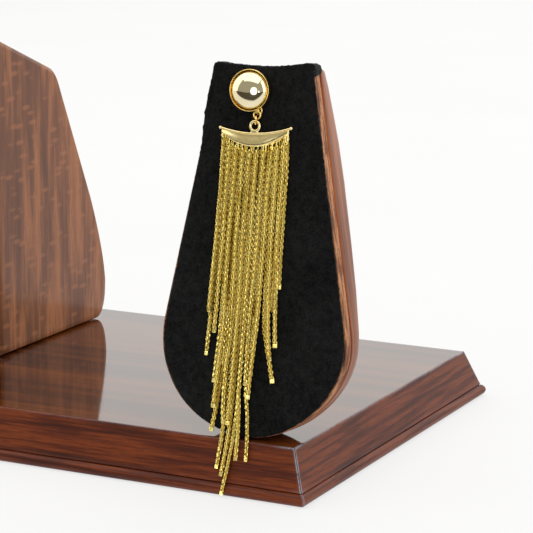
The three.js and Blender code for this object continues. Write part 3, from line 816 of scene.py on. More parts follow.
@dataclass
class Paddle:
    """The upright teardrop board and the velvet stretched on it. Sizes are millimetres."""

    finishes: Finishes
    leaning: Leaning
    floor: float
    aside: float = 0.1
    round_radius: float = 29.5
    foot_rise: float = 0.8
    flat_right: float = 0.025
    flat_left: float = -0.01
    top_half: float = 15.5
    top: float = 110.2
    sag: float = 0.7
    tilt: float = 1.0
    cloth: float = 1.2
    cloth_inset: float = 0.4
    gap: float = 0.3
    lap: float = 1.5
    cover: float = 0.75
    bare: float = 0.55
    lap_back: float = 6.3
    panel_back: float = 6.0
    groove: float = 0.8
    back_rise: float = 1.0
    back_ups: tuple[float, ...] = (0, 30, 46, 60, 78, 90, 99, 106, 112)
    backs: tuple[float, ...] = (13.0, 13.6, 15.9, 16.6, 16.8, 15.9, 14.2, 12.7, 10.6)
    seed: int = 4

    def side_width(self, up: np.ndarray) -> np.ndarray:
        """Half width of the straight sides: from r cos a at r + r sin a to the top corners."""
        r = self.round_radius
        taper = math.asin((r - self.top_half) / (self.top - r))
        foot = r + r * math.sin(taper)
        return np.interp(up, [foot, self.top], [r * math.cos(taper), self.top_half])

    def half(self, flat: float, rise: float, tilt: float) -> np.ndarray:
        """One side of the outline from the foot to the middle of the top edge.

        Below its widest place the edge is r (1 - flat sin^2 2a) from the arc's middle, lifted by
        rise sin a. The side is a straight taper, the corner is eased, and the top edge dips by
        sag (1 - u^2) and tilts up by tilt u^1.3.

        Args:
            flat: how much the lower corner is flattened.
            rise: how much higher the top edge is.
            tilt: how much further the top edge's end is raised.

        Returns:
            Pairs of across and up.
        """
        r = self.round_radius
        taper = math.asin((r - self.top_half) / (self.top - r))
        arc = np.linspace(-np.pi / 2, taper, 80)
        below = np.maximum(-arc, 0)
        reach = r * (1 - flat * np.sin(2 * below) ** 2)
        low = np.stack([
            reach * np.cos(arc), r + reach * np.sin(arc) + self.foot_rise * np.sin(below)], -1)
        end = self.top + rise - 1.6 + 0.9 * tilt
        share = np.linspace(0, 1, 90)[1:, None]
        high = low[-1] * (1 - share) + np.array([self.top_half, end]) * share
        turn = np.linspace(0, 1, 9)[1:, None]
        corner = np.array([self.top_half, end]) * (1 - turn) ** 2
        corner = corner + 2 * turn * (1 - turn) * np.array([self.top_half - 0.1, end + 1.6])
        corner = corner + turn**2 * np.array([self.top_half - 1.7, end + 1.6])
        u = np.linspace(1, 0, 26)[1:, None]
        edge = np.concatenate([
            u * (self.top_half - 1.7),
            self.top + rise - self.sag * (1 - u**2) + 0.9 * tilt * u**1.3], -1)
        return np.concatenate([low, high, corner, edge])

    def outline(self, rise: float = 0.0, tilt: float = 0.0) -> np.ndarray:
        """The whole edge as pairs of across and up, anticlockwise from the foot."""
        right = self.half(self.flat_right, rise, tilt)
        left = self.half(self.flat_left, rise, 0.0)[1:-1][::-1] * np.array([-1, 1])
        return np.concatenate([right, left])

    def rows(self, loop: np.ndarray, inset: np.ndarray, depth: np.ndarray) -> np.ndarray:
        """Copies of a loop pulled in towards the middle, one for each row, at their depths."""
        centre = self.top / 2
        across = self.aside + loop[None, :, 0] * (1 - inset[:, None] / self.round_radius)
        up = loop[None, :, 1] + inset[:, None] * (centre - loop[None, :, 1]) / centre
        return np.stack([across, np.broadcast_to(depth, up.shape), up], -1)

    def placed(self, grid: np.ndarray) -> np.ndarray:
        """Stands a grid up and cuts it flat just above the base."""
        stood = self.leaning.stand(grid)
        stood[..., 2] = np.maximum(stood[..., 2], self.floor + self.gap)
        return stood

    def board(self) -> bpy.types.Object:
        """The wood: a front panel, a groove, then the thicker back, which stands a little taller.

        Returns:
            The piece.
        """
        front = self.cloth + self.gap
        panel = np.array([
            [6, front], [0.5, front], [0.12, front + 0.12], [0, front + 0.5], [0, 3.4],
            [0, self.panel_back - 0.5], [0.14, self.panel_back - 0.08],
            [self.groove, self.panel_back + 0.12]])
        edge = self.panel_back + self.groove
        behind = np.array([[self.groove, edge - 0.18], [0.14, edge + 0.08], [0, edge + 0.5]])
        rounded = np.array([
            [0, 2.6], [0.03, 1.6], [0.15, 0.9], [0.45, 0.35], [0.9, 0.1], [1.5, 0], [8, 0]])
        low, high = self.outline(), self.outline(self.back_rise)
        back = np.interp(high[:, 1], self.back_ups, self.backs)
        grid = np.concatenate([
            self.rows(low, panel[:, 0], panel[:, 1:]),
            self.rows(high, behind[:, 0], behind[:, 1:]),
            self.rows(high, rounded[:, 0], back[None] - rounded[:, 1:])])
        shell = Shell()
        slots = np.array([0] * 6 + [1] * 3 + [2] * (len(grid) - 10))
        shell.add(self.placed(grid), caps=True, slots=slots, level_row=4)
        made = shell.build("paddle_wood", [
            self.finishes.panel, self.finishes.groove, self.finishes.back_board], 40)
        return settle(made, "board_wood", "paddle_board")

    def lap_grid(self) -> np.ndarray:
        """The cloth's lap over the top edge and down both corners.

        Each closed section of depth and margin is carried along the board's edge: up a side from
        top - lap + depth lap / back, round the corner, and across the top at that margin from it.

        Returns:
            The grid, rows along the edge.
        """
        section = np.array([
            [1.1, 0.3], [0.6, 0.55], [0.35, 1.05], [0.6, 1.4], [1.4, 1.5], [3.0, 1.5], [5.0, 1.5],
            [5.9, 1.42], [self.lap_back, 1.05], [self.lap_back, 0.6], [6.0, 0.32], [3.5, 0.3]])
        depth, margin = section.T
        foot = self.top - self.lap + 0.9 * self.lap * depth / self.lap_back
        halves = []
        for tilt in (self.tilt, 0.0):
            share = np.linspace(0, 1, 6)[:-1, None]
            rise = foot * (1 - share) + (self.top - 0.2 + 0.5 * tilt) * share
            side = np.stack([self.side_width(rise) + 0.35 * margin + 0 * share, rise], -1)
            turn = np.linspace(0, 1, 9)[:, None]
            start = side[-1, :, 0] + 0 * turn
            high = self.top + margin + 0.9 * tilt
            across = start * (1 - turn) ** 2 + 2 * turn * (1 - turn) * start
            across = across + turn**2 * (self.top_half - 1.4)
            up = (self.top - 0.2 + 0.5 * tilt) * (1 - turn) ** 2 + (1 - (1 - turn) ** 2) * high
            u = np.linspace(1, 0, 34)[1:, None]
            flat = self.top + margin - self.sag * (1 - u**2) + 0.9 * tilt * u**1.3
            edge = np.stack([u * (self.top_half - 1.4) + 0 * flat, flat], -1)
            halves.append(np.concatenate([side, np.stack([across, up], -1), edge]))
        right, left = halves[0], halves[1][:-1][::-1] * np.array([-1, 1])
        path = np.concatenate([right, left])
        depths = np.broadcast_to(depth, path.shape[:2])
        return np.stack([self.aside + path[..., 0], depths, path[..., 1]], -1)

    def velvet(self) -> bpy.types.Object:
        """The cloth over the front, lapped over the top edge, with a slightly ragged pile.

        Returns:
            The piece.
        """
        rise = self.gap + self.cloth + self.cloth_inset
        loop = self.outline(rise, self.tilt)
        profile = np.array([
            [4, 1.2], [0.7, 1.2], [0.42, 1.1], [0.3, 0.8], [0.34, 0.45], [0.56, 0.16], [1.1, 0.02],
            [2.2, 0], [6, 0], [14, 0], [22, 0]])
        grid = self.rows(loop, profile[:, 0], profile[:, 1:])
        covered = smooth_step(loop[:, 1], 84.0, 101.0)
        outward = self.cover * covered - self.bare * (1 - covered)
        grid[..., 0] -= outward * np.clip(-loop[:, 0] / 12, 0, 1)
        rng = np.random.default_rng(self.seed)
        edge = (np.abs(profile[:, 0] - 0.5) < 0.7)[:, None, None]
        tufts = rng.normal(0, 0.07, (1, len(loop), 3)) * np.array([1, 0.3, 1])
        ragged = (tufts + rng.normal(0, 0.03, (len(profile), len(loop), 3))) * edge
        shell = Shell()
        shell.add(self.placed(grid + ragged), caps=True)
        lap = self.lap_grid()
        tufts = rng.normal(0, 0.08, (len(lap), 1, 3)) * np.array([1, 0.3, 1])
        shell.add(self.placed(lap + tufts + rng.normal(0, 0.03, lap.shape)), caps=True)
        made = shell.build("paddle_cloth", [self.finishes.black_velvet], 80)
        settle(made, "velvet", "paddle_velvet")
        return made


# -------------------------------------------------------------------------------- upright


@dataclass
class Upright:
    """The deep upright at the left: a block with a curved back, and velvet on its front."""

    finishes: Finishes
    edge: float = 1.1
    foot_depth: float = 63.5
    belly: tuple[float, float] = (69.5, 13.0)
    slope_start: tuple[float, float] = (60.0, 45.0)
    shoulder: tuple[float, float] = (39.5, 89.0)
    crown: tuple[float, float] = (35.0, 94.5)
    top_height: float = 108.5
    cloth_square: float = 0.12
    low: np.ndarray = field(init=False)
    high: np.ndarray = field(init=False)

    def __post_init__(self) -> None:
        """Takes the block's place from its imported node."""
        self.low, self.high = (np.array(c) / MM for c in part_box("upright_block"))

    def side(self) -> np.ndarray:
        """The side: a flat foot, a belly, a slope and a crown, each a curve with its own steps.

        Returns:
            Pairs of depth behind the front and height.
        """
        foot, top = (self.foot_depth, 0), (0, self.top_height)
        bends = (
            ((0, 0), (30, 0), foot, 12),
            (foot, (69.5, 1), self.belly, 14),
            (self.belly, (68.3, 25), self.slope_start, 16),
            (self.slope_start, (49.75, 67), self.shoulder, 16),
            (self.shoulder, (38, 92.5), self.crown, 12),
            (self.crown, (17.5, 101.5), top, 12),
            (top, (0, 54), (0, 0), 24),
        )
        return np.concatenate([
            bent(start, pull, end, np.linspace(0, 1, steps, endpoint=False)[:, None])
            for start, pull, end, steps in bends])

    def block(self) -> bpy.types.Object:
        """The block: its side carried across, with eased edges.

        Returns:
            The piece.
        """
        loop = self.side()
        centre = loop.mean(0)
        ease = np.array([[3, 0], [self.edge, 0], [0.4, 0.3], [0.1, 0.75], [0, self.edge + 0.3]])
        width = self.high[0] - self.low[0]
        inset = np.concatenate([ease[:, 0], ease[::-1, 0]])
        place = np.concatenate([self.low[0] + ease[:, 1], self.high[0] - ease[::-1, 1]])
        reach = np.linalg.norm(loop - centre, axis=1)
        drawn = centre + (loop - centre)[None] * (1 - inset[:, None] / reach.max())[..., None]
        grid = np.stack([
            np.broadcast_to(place[:, None], drawn.shape[:2]),
            self.low[1] + drawn[..., 0], self.low[2] + drawn[..., 1]], -1)
        shell = Shell()
        shell.add(grid, caps=True)
        LOG.info("upright is %.1f mm wide", width)
        return settle(shell.build("upright_wood", [self.finishes.figured], 40), "board_wood", "upright_block")

    def velvet(self) -> bpy.types.Object:
        """The cloth on its front: a thin slab with soft edges.

        Its outline is (sign cos a |cos a|^p, sign sin a |sin a|^p), which is nearly square.

        Returns:
            The piece.
        """
        low, high = (np.array(c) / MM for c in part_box("upright_velvet"))
        middle, half = (low + high) / 2, (high - low) / 2
        angle = np.linspace(0, 2 * np.pi, 160, endpoint=False)
        round_loop = np.stack([np.cos(angle), np.sin(angle)], -1)
        loop = np.sign(round_loop) * np.abs(round_loop) ** self.cloth_square
        rows = np.array([
            [0.97, 1], [0.995, 0.8], [1, 0.2], [0.995, -0.5], [0.985, -0.85], [0.96, -1], [0.5, -1]])
        flat = middle[[0, 2]] + rows[:, :1, None] * loop * half[[0, 2]]
        depth = np.broadcast_to((middle[1] + rows[:, 1] * half[1])[:, None], flat.shape[:2])
        shell = Shell()
        shell.add(np.stack([flat[..., 0], depth, flat[..., 1]], -1), caps=True)
        made = shell.build("upright_cloth", [self.finishes.green_velvet], 80)
        settle(made, "velvet", "upright_velvet")
        return made


# ----------------------------------------------------------------------------------- stud


@dataclass
class Stud:
    """The stud: a dished back plate with post and loop, and a polished dome. Sizes are millimetres."""

    finishes: Finishes
    leaning: Leaning
    across: float = -3.1
    up: float = 103.85
    off: float = 0.4
    plate_radius: float = 6.2
    plate_thick: float = 0.7
    rim_width: float = 0.25
    rim_rise: float = 1.6
    dome_radius: float = 5.6
    dome_wall: float = 0.35
    dome_rise: float = 2.9
    post_radius: float = 0.45
    post_length: float = 10.0
    loop: tuple[float, float, float] = (-0.5, -1.75, 96.7)
    loop_radius: float = 1.05
    loop_wire: float = 0.28
    eye: tuple[float, float, float] = (-0.1, -1.2, 98.0)
    eye_side: tuple[float, float, float] = (0.9, -0.43, 0.0)
    eye_half: tuple[float, float] = (1.1, 1.05)
    eye_wire: float = 0.26
    strap_half: tuple[float, float] = (0.62, 0.3)

    @property
    def centre(self) -> np.ndarray:
        """The stud's axis in the leaning frame."""
        return np.array([self.across, 0.0, self.up])

    def plate(self) -> bpy.types.Object:
        """The back plate with its rolled rim, the post behind it, and the soldered loop and strap.

        Returns:
            The piece.
        """
        back, front = self.off, self.off + self.plate_thick
        r, rim = self.plate_radius, self.plate_radius - self.rim_width
        top = front + self.rim_rise
        profile = np.array([
            [0, -self.post_length], [0.25, -self.post_length + 0.05],
            [self.post_radius, -self.post_length + 0.5], [self.post_radius, back - 0.5],
            [self.post_radius + 0.15, back - 0.1], [self.post_radius + 0.5, back], [r - 0.6, back],
            [r - 0.2, back + 0.05], [r - 0.04, back + 0.18], [r, back + 0.4], [r, top - 0.14],
            [r - 0.04, top - 0.04], [r - 0.12, top], [rim + 0.08, top], [rim, top - 0.08],
            [rim - 0.03, front + 0.12], [rim - 0.15, front], [2.0, front], [0, front]])
        shell = Shell()
        shell.add(self.leaning.stand(turned(profile, self.centre, 96)))
        x, z = np.array([1.0, 0, 0]), np.array([0, 0, 1.0])
        for centre, side, half, wire in (
            (self.loop, x, (self.loop_radius,) * 2, self.loop_wire),
            (self.eye, unit(np.array(self.eye_side)), self.eye_half, self.eye_wire),
        ):
            shell.add(self.leaning.stand(wire_ring(np.array(centre), side, z, half, wire)), Wrap.BOTH)
        t = np.linspace(0, 1, 9)[:, None]
        path = bent((-0.5, -0.75, 98.5), (-0.5, -1.7, 98.5), (-0.5, -1.75, 97.62), t)
        strap = circle(1.0, 14) * np.array(self.strap_half)
        shell.add(self.leaning.stand(swept(path, x, strap)), caps=True)
        made = shell.build("stud_back", [self.finishes.yellow_gold], 50)
        return settle(made, "yellow_gold", "stud_plate")

    def dome(self) -> bpy.types.Object:
        """The dome: a low wall, then r = R cos a, f = wall + rise sin a up to the crown.

        Returns:
            The piece.
        """
        foot = self.off + self.plate_thick + 0.3
        a = np.linspace(0, np.pi / 2, 26)
        rise = foot + self.dome_wall + self.dome_rise * np.sin(a)
        crown = np.stack([self.dome_radius * np.cos(a), rise], -1)
        wall = np.array([[0, foot], [self.dome_radius - 0.25, foot], [self.dome_radius, foot + 0.2]])
        shell = Shell()
        shell.add(self.leaning.stand(turned(np.concatenate([wall, crown]), self.centre, 96)))
        made = shell.build("stud_cap", [self.finishes.pale_gold], 60)
        return settle(made, "pale_gold", "stud_dome")


# ----------------------------------------------------------------------------------- drop


@dataclass
class Drop:
    """The jump ring and the crescent that carries the fringe. Sizes are millimetres.

    A lug's numbers are its place from the crescent's middle, and its upper and lower ends' heights.
    """

    finishes: Finishes
    leaning: Leaning
    off: float = 1.75
    across: float = -0.75
    horn_up: float = 92.95
    horn_span: float = 22.3
    slant: float = 0.039
    top_middle: float = 91.25
    bottom_middle: float = 87.3
    bottom_half: float = 10.6
    bottom_chord: float = 91.4
    thick: float = 0.8
    rim: float = 0.38
    horn: float = 0.52
    loop_across: float = -1.0
    loop_up: float = 93.45
    loop_radius: float = 1.42
    loop_wire: float = 0.45
    lugs: tuple[tuple[float, float, float], ...] = ((-10.4, 91.9, 90.2), (10.3, 92.9, 89.8))
    lug_radius: float = 0.3
    lug_ball: float = 0.42
    swell: float = 0.06
    slope: float = 0.42
    fall: float = 0.28
    ring_centre: tuple[float, float, float] = (-0.75, -1.85, 95.2)
    ring_side: tuple[float, float, float] = (0.30, -0.954, 0.0)
    ring_half: tuple[float, float] = (1.1, 1.25)
    ring_wire: float = 0.28
    ring_open: tuple[float, float] = (-0.18, 2 * math.pi - 0.34)
    ring_pinch: float = 0.08

    @staticmethod
    def arc(x: np.ndarray, half: float, middle: float, ends: float) -> np.ndarray:
        """Height at x of the arc through its two ends and its lower middle."""
        sag = ends - middle
        radius = (half * half + sag * sag) / (2 * sag)
        return middle + radius - np.sqrt(np.maximum(radius**2 - x**2, 0))

    def top_edge(self, x: np.ndarray) -> np.ndarray:
        """Height of the upper arc at x from the crescent's middle."""
        return self.arc(x, self.horn_span / 2, self.top_middle, self.horn_up) + self.slant * x

    def bottom_edge(self, x: np.ndarray) -> np.ndarray:
        """Height of the lower arc at x from the crescent's middle."""
        return self.slant * x + self.arc(
            np.clip(x, -self.bottom_half, self.bottom_half), self.bottom_half, self.bottom_middle,
            self.bottom_chord)

    def ring(self) -> bpy.types.Object:
        """The open wire ring, nearly edge on, with its two ends pinched side by side.

        Returns:
            The piece.
        """
        side, up = unit(np.array(self.ring_side)), np.array([0, 0, 1.0])
        grid = wire_ring(
            np.array(self.ring_centre), side, up, self.ring_half, self.ring_wire, (44, 14), self.ring_open)
        pinch = np.linspace(-self.ring_pinch, self.ring_pinch, len(grid))[:, None, None]
        shift = pinch * np.cross(side, up)
        shell = Shell()
        shell.add(self.leaning.stand(grid + shift), caps=True)
        made = shell.build("open_ring", [self.finishes.yellow_gold], 60)
        return settle(made, "yellow_gold", "jump_ring")

    def crescent(self) -> bpy.types.Object:
        """The plate, its raised rim, horn ends, lugs, flared neck and loop, soldered together.

        Returns:
            The piece.
        """
        shell = Shell()
        self.add_plate(shell)
        x = np.linspace(-1, 1, 60) * self.horn_span / 2
        path = np.stack([self.across + x, np.full_like(x, -self.off - 0.12), self.top_edge(x)], -1)
        shell.add(self.leaning.stand(swept(path, np.array([0, 1.0, 0]), circle(self.rim, 14))), caps=True)
        for end in (0, -1):
            shell.add(self.leaning.stand(ball(path[end], self.horn, 12)))
        right, up = np.array([1.0, 0, 0]), np.array([0, 0, 1.0])
        for where, high, low in self.lugs:
            z = np.linspace(high, low, 8)
            lug = np.stack([np.full_like(z, self.across + where), np.full_like(z, -self.off - 0.2), z], -1)
            shell.add(self.leaning.stand(swept(lug, right, circle(self.lug_radius, 10))), caps=True)
            shell.add(self.leaning.stand(ball(lug[-1], self.lug_ball, 8)))
        self.add_neck(shell)
        loop = np.array([self.loop_across, -self.off, self.loop_up])
        shell.add(self.leaning.stand(
            wire_ring(loop, right, up, (self.loop_radius,) * 2, self.loop_wire, (56, 18))), Wrap.BOTH)
        made = shell.build("crescent", [self.finishes.satin_gold], 70)
        return settle(made, "pale_gold", "crescent_bar")

    def add_plate(self, shell: Shell) -> None:
        """Adds the plate: between both arcs, rounded at its edges, its lower right turned down.

        A section's point is up = middle + half v with v = cos t, depth = h |sin t|^0.4. The front
        swells by swell sin^2 t, leans back by slope v sin t, and falls back by fall (e - v)^2 where
        v is below e, which rises from left to right.

        Args:
            shell: takes the surface.
        """
        x = np.linspace(-1, 1, 80)[:, None] * self.bottom_half
        t = np.linspace(0, 2 * np.pi, 40, endpoint=False)[None]
        low, high = self.bottom_edge(x), self.top_edge(x)
        up = (low + high) / 2 + (high - low) / 2 * np.cos(t)
        wall = np.sign(np.sin(t)) * np.abs(np.sin(t)) ** 0.4 * self.thick / 2
        edge = -0.75 + 1.75 * smooth_step(x, -3.0, 8.0)
        swell = np.where(
            np.sin(t) > 0, self.swell * np.sin(t) ** 2 - self.slope * np.cos(t) * np.sin(t)
            - self.fall * np.maximum(edge - np.cos(t), 0) ** 2, 0)
        depth = -self.off - wall - swell
        grid = np.stack([self.across + x + 0 * t, depth, up], -1)
        shell.add(self.leaning.stand(grid), caps=True)

    def add_neck(self, shell: Shell) -> None:
        """Adds the neck: half width w = 1.05 + 0.95 (1 - s)^2 from the rim up to the loop.

        Args:
            shell: takes the surface.
        """
        s = np.linspace(0, 1, 9)[:, None]
        t = np.linspace(0, 2 * np.pi, 24, endpoint=False)[None]
        wide = 1.05 + 0.95 * (1 - s) ** 2
        across = self.loop_across + wide * np.sign(np.cos(t)) * np.abs(np.cos(t)) ** 0.5
        depth = -self.off + 0.42 * np.sign(np.sin(t)) * np.abs(np.sin(t)) ** 0.5 + 0 * s
        up = self.top_middle - 0.1 + 1.1 * s + 0 * t
        shell.add(self.leaning.stand(np.stack([across, depth, up], -1)), caps=True)


# --------------------------------------------------------------------------------- fringe


@dataclass
class Fringe:
    """The strands of fine chain: narrow links in two columns, front and back. In millimetres."""

    finishes: Finishes
    leaning: Leaning
    pitch: float = 0.93
    link_half: tuple[float, float] = (0.36, 0.82)
    wire: tuple[float, float] = (0.10, 0.15)
    column: float = 0.28
    lift: float = 0.15
    turn: float = 28.0
    core: tuple[float, float] = (0.52, 0.20)
    steps: tuple[int, int] = (12, 4)
    first_link: float = 0.35
    wobble: float = 0.05
    wobble_reach: float = 0.35
    twist: float = 0.22
    twist_start: float = 0.2
    twist_knots: int = 7
    turn_spread: float = 0.05
    seed: int = 7

    @staticmethod
    def route(node: str) -> np.ndarray:
        """The centre line of a packed chain tube, from its top down, in millimetres.

        Its rings of eight corners lie well apart in height, so the corners in order of height fall
        into eights, and each eight's mean is a point of the line.

        Args:
            node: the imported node's name.

        Returns:
            Points by 3.
        """
        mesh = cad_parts[node].data
        corners = np.zeros(len(mesh.vertices) * 3, np.float32)
        mesh.vertices.foreach_get("co", corners)
        single = np.unique((corners.reshape(-1, 3) / MM).round(3), axis=0)
        ordered = single[np.argsort(-single[:, 2])]
        return ordered[: len(ordered) // 8 * 8].reshape(-1, 8, 3).mean(1)

    def link(self) -> np.ndarray:
        """One link about the origin, long along Z: a flattened wire along an oval, rows by 3."""
        a = np.linspace(0, 2 * np.pi, self.steps[0], endpoint=False)[:, None]
        b = np.linspace(0, 2 * np.pi, self.steps[1], endpoint=False)[None]
        half_x, half_z = self.link_half
        width, depth = self.wire
        x = (half_x + width * np.cos(b)) * np.sign(np.cos(a)) * np.abs(np.cos(a)) ** 1.3
        z = (half_z + width * np.cos(b)) * np.sin(a)
        y = depth * np.sin(b) + 0 * a
        return np.stack([x, y, z], -1).reshape(-1, 3)

    def strand(self, node: str, rng: np.random.Generator) -> bpy.types.Object:
        """One strand: links at even steps in two columns, front and back, and a solid end.

        With S across and N towards the front, both turned by a slow twist, link k lies at
        c - s column S + f lift N for s = (-1)^k and f = 1 in front, -1 behind. Its plane is turned
        by q = s f turn, so its points are x (S cos q + N sin q) + y (N cos q - S sin q) + z T.

        Args:
            node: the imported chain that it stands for.
            rng: seeded random numbers.

        Returns:
            The piece.
        """
        line = self.route(node)
        reach = run_length(line, 0)
        count = int(reach[-1] / self.pitch)
        at = (np.arange(count) + self.first_link) * self.pitch
        centres = np.stack([np.interp(at, reach, line[:, k]) for k in range(3)], -1)
        wobble = np.cumsum(rng.normal(0, self.wobble, (count, 1)), 0)
        wobble -= np.linspace(0, 1, count)[:, None] * wobble[-1]
        x = self.leaning.axes[0]
        centres += wobble * x * self.wobble_reach
        tangent = unit(np.gradient(centres, axis=0))
        across = unit(x - (tangent @ x)[:, None] * tangent)
        twist = rng.uniform(-self.twist_start, self.twist_start) + np.interp(
            np.arange(count), np.linspace(0, count, self.twist_knots),
            rng.normal(0, self.twist, self.twist_knots))
        across, normal = swung(across, np.cross(tangent, across), twist[:, None])
        hand = np.where(np.arange(count) % 2, -1.0, 1.0)[:, None]
        shell = Shell()
        cells = grid_quads(*self.steps, Wrap.BOTH)
        for face in (1.0, -1.0):
            q = hand * face * math.radians(self.turn) + rng.normal(0, self.turn_spread, (count, 1))
            middles = centres - hand * self.column * across + face * self.lift * normal
            shell.scatter(
                self.link(), cells, middles, np.stack([*swung(across, normal, q), tangent], 1))
        # The tube inside the links takes the darker gold: painted shade of the chain's inner links seen
        # through its gaps.
        core = circle(1.0, 8) * np.array(self.core)
        shell.add(swept(centres, x, core), caps=True, slots=1)
        self.add_end(shell, centres[-1], np.stack([across[-1], normal[-1], tangent[-1]]))
        self.add_hanger(shell, line, rng)
        number = node.rsplit("_", 1)[1]
        made = shell.build(
            f"strand_{number}", [self.finishes.chain_gold, self.finishes.core_gold],
            smooth=False, weld=False)
        return settle(made, "yellow_gold", node)

    def add_end(self, shell: Shell, centre: np.ndarray, axes: np.ndarray) -> None:
        """Adds the pressed solid link that closes the strand: a rounded bar of square section."""
        t = np.linspace(0.1, 1.3, 5)[:, None]
        t = np.concatenate([t[:1], t, t[-1:]])
        size = np.array([0.5, 0.68, 0.72, 0.72, 0.72, 0.68, 0.5])[:, None, None]
        a = np.linspace(0, 2 * np.pi, 8, endpoint=False) + np.pi / 8
        ring = np.stack([np.cos(a), np.sin(a) * 0.8], -1)[None] * size
        grid = centre + t[:, None] * axes[2] + ring[..., :1] * axes[0] + ring[..., 1:] * axes[1]
        shell.add(grid, caps=True)

    def add_hanger(self, shell: Shell, line: np.ndarray, rng: np.random.Generator) -> None:
        """Adds the long wire loop that hangs the strand from the crescent's lower edge."""
        x, y, z = self.leaning.axes
        turn = rng.uniform(0.5, 1.1) * rng.choice([-1, 1])
        side = unit(x * math.cos(turn) + y * math.sin(turn))
        local = (line[0] - np.array(self.leaning.foot)) @ self.leaning.axes.T
        middle = self.leaning.stand(np.array([local[0], -1.9, local[2] + 0.55 + rng.uniform(-0.1, 0.25)]))
        shell.add(wire_ring(middle, side, z, (0.5, 1.25), 0.19, (18, 6)), Wrap.BOTH)

    def make(self) -> list[bpy.types.Object]:
        """Every strand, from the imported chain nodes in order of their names."""
        rng = np.random.default_rng(self.seed)
        return [self.strand(n, rng) for n in sorted(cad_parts) if n.startswith("chain_")]


# --------------------------------------------------------------------------------- studio


@dataclass(frozen=True)
class Lamp:
    """A soft light of even brightness. Its place, what it faces and its size are in metres."""

    name: str
    place: tuple[float, float, float]
    aim: tuple[float, float, float]
    size: tuple[float, float]
    radiance: float

    def make(self) -> None:
        """Makes the light, round where it is as wide as it is high, and unseen by the camera."""
        data = bpy.data.lights.new(self.name, "AREA")
        width, height = self.size
        data.shape = "DISK" if width == height else "RECTANGLE"
        data.size, data.size_y = self.size
        area = width * height * (math.pi / 4 if data.shape == "DISK" else 1)
        data.energy = self.radiance * math.pi * area
        lamp = bpy.data.objects.new(self.name, data)
        lamp.location = self.place
        aside = Vector(self.aim) - Vector(self.place)
        lamp.rotation_euler = aside.to_track_quat("-Z", "Y").to_euler()
        lamp.visible_camera = False
        bpy.context.scene.collection.objects.link(lamp)


LAMPS = (
    Lamp("top_panel", (0.0, -0.35, 1.3), (0, -0.34, 0), (2.0, 2.6), 1.2),
    Lamp("left_panel", (-1.1, -0.1, 0.65), (0, 0, 0.1), (1.8, 1.3), 1.1),
    Lamp("right_panel", (1.3, 0.1, 0.65), (0, 0, 0.1), (1.8, 1.3), 1.3),
    Lamp("back_panel", (0.0, 1.4, 0.7), (0, 0, 0.1), (2.4, 1.4), 1.1),
    Lamp("front_lamp", (0.228, -0.95, 0.18), (0.09, -0.06, 0.1), (0.40, 0.40), 3.2),
    Lamp("low_lamp", (0.55, -0.83, 0.14), (0.09, -0.06, 0.1), (0.10, 0.10), 3.0),
)


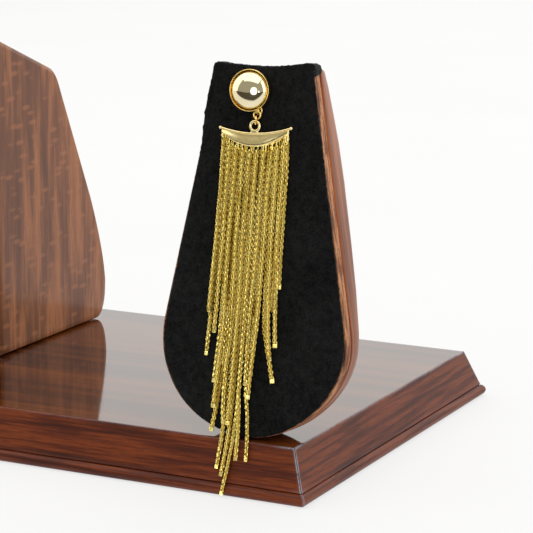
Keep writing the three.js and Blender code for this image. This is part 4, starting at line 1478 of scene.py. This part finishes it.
@dataclass
class Studio:
    """A pale floor, soft panels all round but for the front, two small lamps, and the camera.

    The camera's sizes are millimetres and degrees, and the floor's are metres.
    """

    target: tuple[float, float, float] = (96.72, -66.0, 69.92)
    azimuth: float = 26.80
    elevation: float = 11.98
    distance: float = 676.6
    lens: float = 157.2
    ambient: float = 0.36
    ambient_colour: Colour = (1.0, 0.97, 0.86)
    floor_reach: float = 6.0
    table_middle: float = 0.12
    table_edge: float = 0.21
    table_fade: float = 0.06
    table_slant: float = 0.4
    pale: float = 0.70
    mottle: tuple[float, float] = (0.185, 0.195)
    table_glow: Colour = (0.88, 0.88, 0.88)
    room_glow: Colour = (0.06, 0.055, 0.04)

    def floor(self) -> None:
        """A wide pale floor. What is reflected of it ends in the dark room in front of the table.

        The room begins where -y - slant |x - middle| passes the table's edge.
        """
        shell = Shell()
        x = np.linspace(-self.floor_reach, self.floor_reach, 5) / MM
        top = np.stack([*np.meshgrid(x, x, indexing="ij"), np.zeros((5, 5))], -1)
        shell.add(top, Wrap.OPEN)
        shade = Shade("pale_floor", Roughness=0.9, Specular_IOR_Level=0.1)
        shade.shader.inputs["Emission Strength"].default_value = 1.0
        mottle = shade.noise(shade.place(Place.OBJECT, (6, 6, 6)), 3)
        place = shade.node("ShaderNodeSeparateXYZ", {
            "Vector": shade.node("ShaderNodeTexCoord").outputs["Object"]})
        aside = shade.math("ABSOLUTE", shade.math("SUBTRACT", place.outputs["X"], self.table_middle), 0.0)
        ahead = shade.math("SUBTRACT", shade.math("MULTIPLY", place.outputs["Y"], -1.0),
                           shade.math("MULTIPLY", aside, self.table_slant))
        room = shade.span(ahead, self.table_edge, self.table_edge + self.table_fade)
        seen = shade.node("ShaderNodeLightPath").outputs["Is Camera Ray"]
        lit = shade.mix(room, self.table_glow, self.room_glow)
        shade.drive("Emission Color", shade.mix(seen, lit, (self.pale,) * 3))
        low, high = self.mottle
        shade.drive("Base Color", shade.mix(
            seen, (0, 0, 0), shade.ramp(mottle, [(0.3, (low,) * 3), (0.7, (high,) * 3)])))
        made = shell.build("floor", [shade.material], smooth=False, weld=False)

    def lights(self) -> None:
        """The panels, two small lamps in front, and the even room light."""
        for lamp in LAMPS:
            lamp.make()
        world = bpy.data.worlds.new("room")
        world.use_nodes = True
        world.node_tree.nodes["Background"].inputs["Color"].default_value = (*self.ambient_colour, 1)
        world.node_tree.nodes["Background"].inputs["Strength"].default_value = self.ambient
        bpy.context.scene.world = world
        bpy.context.scene.view_settings.view_transform = "Standard"
        bpy.context.scene.view_settings.look = "None"

    def camera(self) -> None:
        """The camera: target + distance (sin a cos e, -cos a cos e, sin e), looking at the target."""
        a, e = math.radians(self.azimuth), math.radians(self.elevation)
        back = Vector((math.sin(a) * math.cos(e), -math.cos(a) * math.cos(e), math.sin(e)))
        data = bpy.data.cameras.new("camera")
        data.lens, data.sensor_width = self.lens, 36
        data.clip_start, data.clip_end = 0.01, 30
        made = bpy.data.objects.new("camera", data)
        made.location = Vector(self.target) * MM + back * self.distance * MM
        made.rotation_euler = (-back).to_track_quat("-Z", "Y").to_euler()
        bpy.context.scene.collection.objects.link(made)
        bpy.context.scene.camera = made


# ------------------------------------------------------------------------------- assembly


def main() -> None:
    """Builds every piece in order, from the base up to the fringe, then the studio round them."""
    logging.basicConfig(level=logging.INFO, format="%(message)s")
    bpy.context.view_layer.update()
    finishes = Finishes.make()
    base = Base(finishes)
    base.board()
    base.plinth()
    leaning = Leaning()
    paddle = Paddle(finishes, leaning, base.top)
    paddle.board()
    paddle.velvet()
    upright = Upright(finishes)
    upright.block()
    upright.velvet()
    stud = Stud(finishes, leaning)
    stud.plate()
    stud.dome()
    drop = Drop(finishes, leaning)
    drop.ring()
    drop.crescent()
    Fringe(finishes, leaning).make()
    studio = Studio()
    studio.floor()
    studio.lights()
    studio.camera()


if __name__ == "__main__":
    main()
